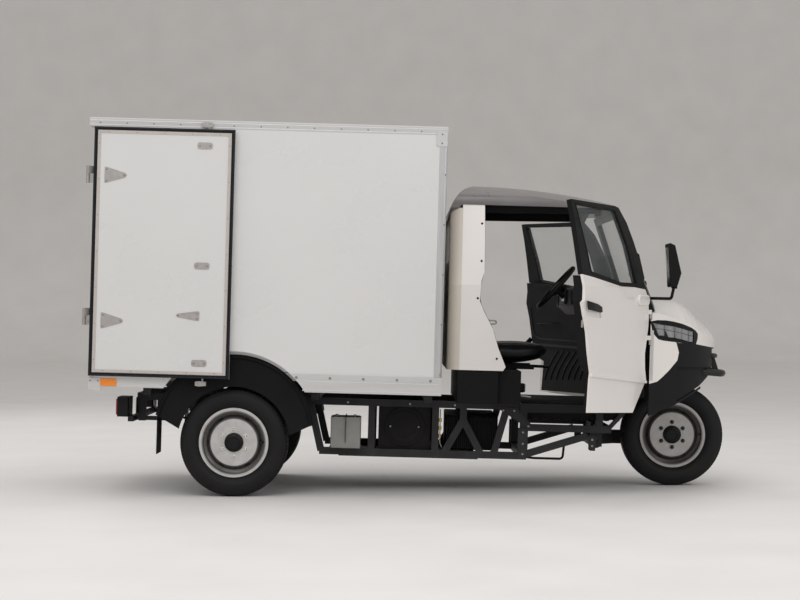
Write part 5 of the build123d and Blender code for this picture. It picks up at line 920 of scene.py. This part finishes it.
def swelled(made):
    """Cloth under pressure with gravity off, for a few frames; no point moves further than the cap."""
    bpy.context.view_layer.objects.active = made
    remesh = made.modifiers.new("remesh", "REMESH")
    remesh.mode = "VOXEL"
    remesh.voxel_size = SEAT_VOXEL
    bpy.ops.object.modifier_apply(modifier="remesh")
    before = np.empty(len(made.data.vertices) * 3)
    made.data.vertices.foreach_get("co", before)
    cloth = made.modifiers.new("cloth", "CLOTH")
    cloth.settings.use_pressure = True
    cloth.settings.uniform_pressure_force = SEAT_PRESSURE
    cloth.settings.effector_weights.gravity = 0
    for number in range(1, SWELL_FRAMES + 1):
        bpy.context.scene.frame_set(number)
    bpy.ops.object.modifier_apply(modifier="cloth")
    bpy.context.scene.frame_set(1)
    after = np.empty_like(before)
    made.data.vertices.foreach_get("co", after)
    step = (after - before).reshape(-1, 3)
    far = np.linalg.norm(step, axis=1, keepdims=True)
    held = before.reshape(-1, 3) + step * np.minimum(1, SWELL_CAP / np.maximum(far, 1e-9))
    made.data.vertices.foreach_set("co", held.ravel())
    smooth = made.modifiers.new("smooth", "SUBSURF")
    smooth.levels = smooth.render_levels = 1
    bpy.ops.object.modifier_apply(modifier="smooth")


def channelled(made, push):
    """Sewn channels: points near each channel's line are pushed in, by a bell of the distance."""
    flat = np.empty(len(made.data.vertices) * 3)
    made.data.vertices.foreach_get("co", flat)
    points = flat.reshape(-1, 3)
    bell = sum(np.exp(-(((points[:, 1] - line) / CHANNEL_WIDE) ** 2)) for line in CHANNELS)
    normals = np.empty(len(made.data.vertices) * 3)
    made.data.vertices.foreach_get("normal", normals)
    facing = np.clip(normals.reshape(-1, 3) @ np.array(push), 0, 1)
    points += -CHANNEL_DEEP * (bell * facing)[:, None] * np.array(push)
    made.data.vertices.foreach_set("co", points.ravel())
    made.data.update()


cushion_block = pad_block((1380, -226, CUSHION_TOP - CUSHION_HIGH), (1799, 226, CUSHION_TOP), 0, 3.4, 14)
cushion = piece("seat_cushion", seat_cover, [wedge(cushion_block)])
backrest = piece("seat_backrest", seat_cover,
                 [pad_block((1272, -214, 892), (1352, 214, 1390), -14, 4.5)])
swelled(cushion)
swelled(backrest)
channelled(cushion, (0.03, 0, 1.0))
channelled(backrest, (1.0, 0, 0.02))
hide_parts("seat")

# Glass: windscreen, rear window and door windows, of clear tinted safety glass. Its roughness wanders with
# faint smears, and most of what lies behind it shows through.


def clear(name, colour, alpha, rough=0.03):
    """Thin clear glass: a see-through gloss whose roughness varies a little with smears."""
    glass = bpy.data.materials.new(name)
    glass.use_nodes = True
    tree = glass.node_tree
    shader = tree.nodes["Principled BSDF"]
    shader.inputs["Alpha"].default_value = alpha
    smears = noise(tree, 7.0, 6.0, (1, 1, 0.4))
    darker = tuple(c * 0.9 for c in colour)
    tree.links.new(tinted(tree, smears, darker, colour), shader.inputs["Base Color"])
    tree.links.new(remap(tree, smears, 0.35, 0.7, rough, rough + 0.08), shader.inputs["Roughness"])
    return glass


window_glass = clear("window_glass", (0.26, 0.29, 0.285), 0.15)
dress(window_glass, "windscreen", "rear_window", "door_glass_left", "door_glass_right")

# Windscreen surround: a black gloss moulding, with a wiper parked along its foot. The wiper has a sprung arm
# and a rubber blade.
surround_black = finish("surround_black", (0.005, 0.005, 0.0055), 0.38, coat=0.06, mottle=0.1, gloss=0.2)
dress(surround_black, "windscreen_frame")


SCREEN_HALF, SCREEN_BOW = 640.0, 62.0
SCREEN_FOOT, SCREEN_RUN = (2312, 1214), (-192.0, 472.0)


def screen_place(across, rise, off):
    """A place on the bowed windscreen: across the cab, up the slope, and off its face. The bow is an arc."""
    across, rise, off = (np.asarray(v, float) for v in (across, rise, off))
    radius = (SCREEN_HALF**2 + SCREEN_BOW**2) / (2 * SCREEN_BOW)
    bow = SCREEN_BOW - (radius - np.sqrt(radius**2 - across**2))
    slope = np.array(SCREEN_RUN) / math.hypot(*SCREEN_RUN)
    face = np.array([slope[1], -slope[0]])
    x = SCREEN_FOOT[0] + rise * slope[0] + (bow + off) * face[0]
    z = SCREEN_FOOT[1] + rise * slope[1] + (bow + off) * face[1]
    return spread(x, across, z)


blade_y = np.linspace(-60, 330, 24)
arm_y = np.linspace(-120, 150, 20)
wiper_blade = swept(screen_place(blade_y, 82 + 0.09 * blade_y, 8), bar(3, 6))
wiper_arm = swept(screen_place(arm_y, 40 + (arm_y + 120) * 0.2, 16), bar(5, 2.5))
pivot = studs([screen_place(-120, 40, 6)], (0.93, 0, 0.37), 16, 14, 16)
piece("wiper", surround_black, [wiper_blade, wiper_arm] + pivot)

# Nose: the moulded white hood and fenders have a dark bulkhead behind and a black surround for each lamp
# cluster. A pale rubber strip fills the gap beside each door.
dress(moulding_black, "cab_bulkhead")
dress(surround_black, "lamp_trays")
NOSE_R, NOSE_MID = 717.0, 2080.0


def nose_y(x, inset=0.0):
    """Distance of the nose's side from the middle: a circle in plan, drawn in by an inset."""
    return np.sqrt((NOSE_R - inset) ** 2 - (np.asarray(x, float) - NOSE_MID) ** 2)


strip_z = np.linspace(716, 1000, 16)
STRIP_X = 2341
strip_outline = [(-8, -1.5), (8, -1.5), (8, 2.5), (-8, 2.5)]
rubber_strip = [swept(spread(STRIP_X, -nose_y(STRIP_X) - 1, strip_z), strip_outline, OUTWARD)]
strip_grey = finish("strip_grey", (0.52, 0.50, 0.485), 0.55, mottle=0.08, bump=0.1)
piece("nose_strips", strip_grey, both(rubber_strip))

# Headlamps: ten moulded reflector blocks a side, frosted and silvered, behind a clear cover. Each block has
# fine upright flutes.
lamp_silver = finish("lamp_silver", (0.27, 0.27, 0.28), 0.3, metal=0.25, coat=0.4, mottle=0.3, scale=24,
                     stretch=(1, 1, 0.2), bump=0.4, grain=160)
dress(lamp_silver, "headlamps")
cover_top = np.array([(2345, 1043), (2415, 1035), (2479, 1028), (2524, 1018), (2567, 1007), (2600, 1000)])
cover_low = np.array([(2345, 1010), (2380, 972), (2439, 963), (2479, 959), (2524, 950), (2567, 940),
                      (2600, 936)])
cover_x = np.linspace(2347, 2599, 40)[:, None]
cover_share = np.linspace(0, 1, 8)[None]
cover_high_z = np.interp(cover_x, *cover_top.T)
cover_low_z = np.interp(cover_x, *cover_low.T)
cover_z = cover_low_z + (cover_high_z - cover_low_z) * cover_share
cover = slab(spread(cover_x, -nose_y(cover_x, 1.5), cover_z), (0, 1.2, 0))
lamp_cover = clear("lamp_cover", (0.30, 0.31, 0.32), 0.05)
piece("lamp_covers", lamp_cover, both([cover]))

# Shroud and bars: a dark moulded lower nose with two bent steel bars in textured dark paint, capped where they
# enter the shroud with black rubber sleeves.
shroud_dark = finish("shroud_dark", (0.0085, 0.0085, 0.009), 0.55, mottle=0.15, scale=8, bump=0.3, grain=360,
                     gloss=0.16)
dress(shroud_dark, "front_shroud")
bar_dark = finish("bar_dark", (0.018, 0.0175, 0.0175), 0.45, mottle=0.1, bump=0.25, grain=500, gloss=0.28)
dress(bar_dark, "bull_bars")

# Mirrors: black grained shells on bent arms. Each has a silvered glass on its rear face, and a rubber boot over
# its ball joint.
dress(moulding_black, "mirrors")
glass_low, glass_high = np.array([2409.5, 1262.0]), np.array([2392.0, 1476.0])
glass_turn = rounded((0, 0), 126, 196, 22, 6)
slope = (glass_high - glass_low) / np.linalg.norm(glass_high - glass_low)
glass_x, glass_z = (glass_low + glass_high) / 2
MIRROR_Y = -790
mirror_glass = [np.stack([
    spread(glass_x + share * glass_turn[:, 1] * slope[0] - off, MIRROR_Y + share * glass_turn[:, 0],
           glass_z + share * glass_turn[:, 1] * slope[1])
    for share, off in ((0, -1), (1, -1), (1, 1.5), (0.96, 2.2), (0, 2.2))
])]
mirror_boot = studs([(2440, MIRROR_Y, 1246)], (0.1, 0, 1), 17, 22, 18)
mirror_silver = finish("mirror_silver", (0.10, 0.105, 0.11), 0.06, metal=1.0, mottle=0.05)
piece("mirror_glasses", mirror_silver, both(mirror_glass))
piece("mirror_boots", rubber_black, both(mirror_boot))

# Steering wheel and column: a black foamed rim with a sunk hub pad, two stalks behind it, and a bellows at the
# column's foot.
rim_foam = finish("rim_foam", (0.006, 0.006, 0.006), 0.55, bump=0.4, grain=420, gloss=0.2)
dress(rim_foam, "steering_wheel", "steering_column")
HUB = np.array([1841.0, 0.0, 1239.0])
COLUMN = np.array([0.76, 0.0, -0.65]) / math.hypot(0.76, 0.65)
pad = studs([HUB - COLUMN], -COLUMN, 44, 12, 28)
stalks = [
    swept(bent([HUB + 60 * COLUMN + (0, 20 * hand, 0), HUB + 62 * COLUMN + (0, 150 * hand, 12)], 16, 2),
          circle(6, 10))
    for hand in (-1, 1)
]
turns = np.linspace(0, 2 * math.pi, 24, endpoint=False)
across_axis = np.cross(COLUMN, LEFT)
ring = np.cos(turns)[:, None] * np.array(LEFT) + np.sin(turns)[:, None] * across_axis
FOLD_R, FOLD_DEEP, FOLD_PITCH = 33, 4, 17
bellows_run = np.linspace(215, 300, 22)
bellows_r = FOLD_R + FOLD_DEEP * np.cos(bellows_run * 2 * math.pi / FOLD_PITCH)
bellows = HUB + bellows_run[:, None, None] * COLUMN + bellows_r[:, None, None] * ring
piece("hub_pad", rim_foam, pad, "steering_wheel")
piece("column_stalks", rim_foam, stalks)
piece("column_bellows", rubber_black, [capped(bellows)])

# Dashboard: a dark grey moulding with a hooded display, two round air vents and an open shelf edge. The display
# is a bare dark pane.
dash_grey = finish("dash_grey", (0.011, 0.011, 0.012), 0.56, mottle=0.1, bump=0.35, grain=380, gloss=0.16)
dress(dash_grey, "dashboard")


def facing_driver(outline, x, thick, edge=1.5):
    """A plate on the dashboard's rear face: its outline in Y and Z, risen rearwards."""
    return facing_back([upright_plate(outline, 0, thick, edge)], x)


VENT_Y, VENT_Z = 470, 1178
vent_rings = [hoop(1898.0, y, VENT_Z, 42, 32, 5) for y in (-VENT_Y, VENT_Y)]
vent_bars = [
    straight((1899, y - 36, VENT_Z + rise), (1899, y + 36, VENT_Z + rise), 4, bar(4, 2))
    for y in (-VENT_Y, VENT_Y) for rise in (-18, -6, 6, 18)
]
piece("dash_vents", dash_grey, vent_rings + vent_bars)
piece("display_hood", dash_grey, facing_driver(rounded((0, 1196), 250, 112, 22), 1900, 16, 5))
display_dark = finish("display_dark", (0.006, 0.007, 0.009), 0.08, coat=0.8, mottle=0.1)
piece("display_pane", display_dark,
      facing_driver(rounded((0, 1198), 214, 82, 10), 1885.5, 2, 0.8))

# Cab doors: white pressed skins on black inner frames, which hang open on pins at the front. The inner panel
# has fanned ribs over a raised ledge, a pull strap and a latch; the window sits in a rubber channel.
dress(finish("door_black", (0.0065, 0.0065, 0.007), 0.56, mottle=0.12, bump=0.35, grain=380, gloss=0.15),
      "door_frame_left", "door_frame_right")
DOOR_PIN = (2325.0, -680.0)
BELT_Z, LEAN_RUN, LEAN_IN = 1230.0, 460.0, 92.0


def door_place(side, opened):
    """Door to frame: a closed right-hand door, turned about its pin as it opens, and mirrored for the left."""
    cos, sin = math.cos(math.radians(opened)), math.sin(math.radians(opened))

    def place(points):
        x, y, z = parted(points)
        dx, dy = x - DOOR_PIN[0], y - DOOR_PIN[1]
        open_x = DOOR_PIN[0] + dx * cos - dy * sin
        open_y = DOOR_PIN[1] + dx * sin + dy * cos
        return body_place(spread(open_x, -side * open_y, z))

    return place


def on_window(x, share, off):
    """A place on the leaning window plane: X, share of the height from belt to roof, and distance off it."""
    x, share, off = (np.asarray(v, float) for v in (x, share, off))
    return spread(x, -678 + LEAN_IN * share - off, BELT_Z + LEAN_RUN * share)


glass_edge = np.array([(1433, 0.946), (1974, 0.935), (2071, 0.543), (2122, 0.055), (1890, 0.052), (1503, 0.159),
                       (1489, 0.417), (1433, 0.946)])
edge_run = np.concatenate([[0], np.cumsum(np.hypot(*(np.diff(glass_edge, axis=0) * (1, LEAN_RUN)).T))])
edge_even = np.linspace(0, edge_run[-1], 90)
edge_x, edge_share = (np.interp(edge_even, edge_run, column) for column in glass_edge.T)
channel_outline = [(-7, -4), (7, -4), (6, 1.5), (0, 2.6), (-6, 1.5)]
channel = [swept(on_window(edge_x, edge_share, 0), channel_outline, OUTWARD, caps=False)]
TRIM_DEEP, LEDGE_Z, PULL_OUT = 75.0, 872, 34


def trim_y(z):
    """Place across of the door's inner trim, at a height."""
    return -skin_y(z) + TRIM_DEEP


ribs = []
reach = np.linspace(0, 1, 16)
for number in range(8):
    rib_x = 1652 + 62 * number + 118 * reach**1.6
    rib_z = 640 + 3 * number + (196 - 4 * number) * reach
    ribs.append(swept(spread(rib_x, trim_y(rib_z), rib_z), circle(5.5, 8), LEFT))
ledge_x = np.linspace(1530, 2236, 24)
ledge_path = spread(ledge_x, trim_y(LEDGE_Z), LEDGE_Z - 0.02 * (ledge_x - 1530))
ledge = [swept(ledge_path, [(-10, -4), (10, -4), (6, 9), (-10, 7)], LEFT)]
pull_y = trim_y(1010)
pull_path = [(1560, pull_y, 1010), (1590, pull_y + PULL_OUT, 1014), (1740, pull_y + PULL_OUT, 1020),
             (1770, pull_y, 1022)]
pull = [swept(bent(pull_path, 40, 3), bar(12, 3))]
recess = ((1450, 1130), (1500, 940), (1560, 912), (2226, 900), (2240, 1050), (2210, 1120))
recess_lines = [swept(bent([(x, trim_y(z), z) for x, z in recess], 90, 3), circle(4, 8), LEFT)]
latch_box = [upright_plate([(1440, 1010), (1440, 1064), (1478, 1064), (1494, 1010)], -640, 10, 2)]
grip_outline = np.array([(1400, 1152), (1414, 1105), (1582, 1090), (1606, 1096), (1599, 1121), (1538, 1137)])
grip = [upright_plate(grip_outline, -skin_y(1120) - 6.5, 6.5, 2.0)]
door_trim = finish("door_trim", (0.012, 0.012, 0.013), 0.52, mottle=0.12, bump=0.3, grain=380, gloss=0.25)
for side, label, opened in ((-1, "right", 61.0), (1, "left", 57.0)):
    for name, slot, material, grids in (
        ("window_channel_", "leaf_seal", rubber_black, channel),
        ("trim_ribs_", "column_black", door_trim, ribs + ledge + recess_lines),
        ("door_pull_", "column_black", door_trim, pull),
        ("door_latch_", "fittings_steel", plate_zinc, latch_box),
        ("door_grip_", "mirror_black", surround_black, grip),
    ):
        piece(name + label, material, grids, "cab_door_" + label, door_place(side, opened))
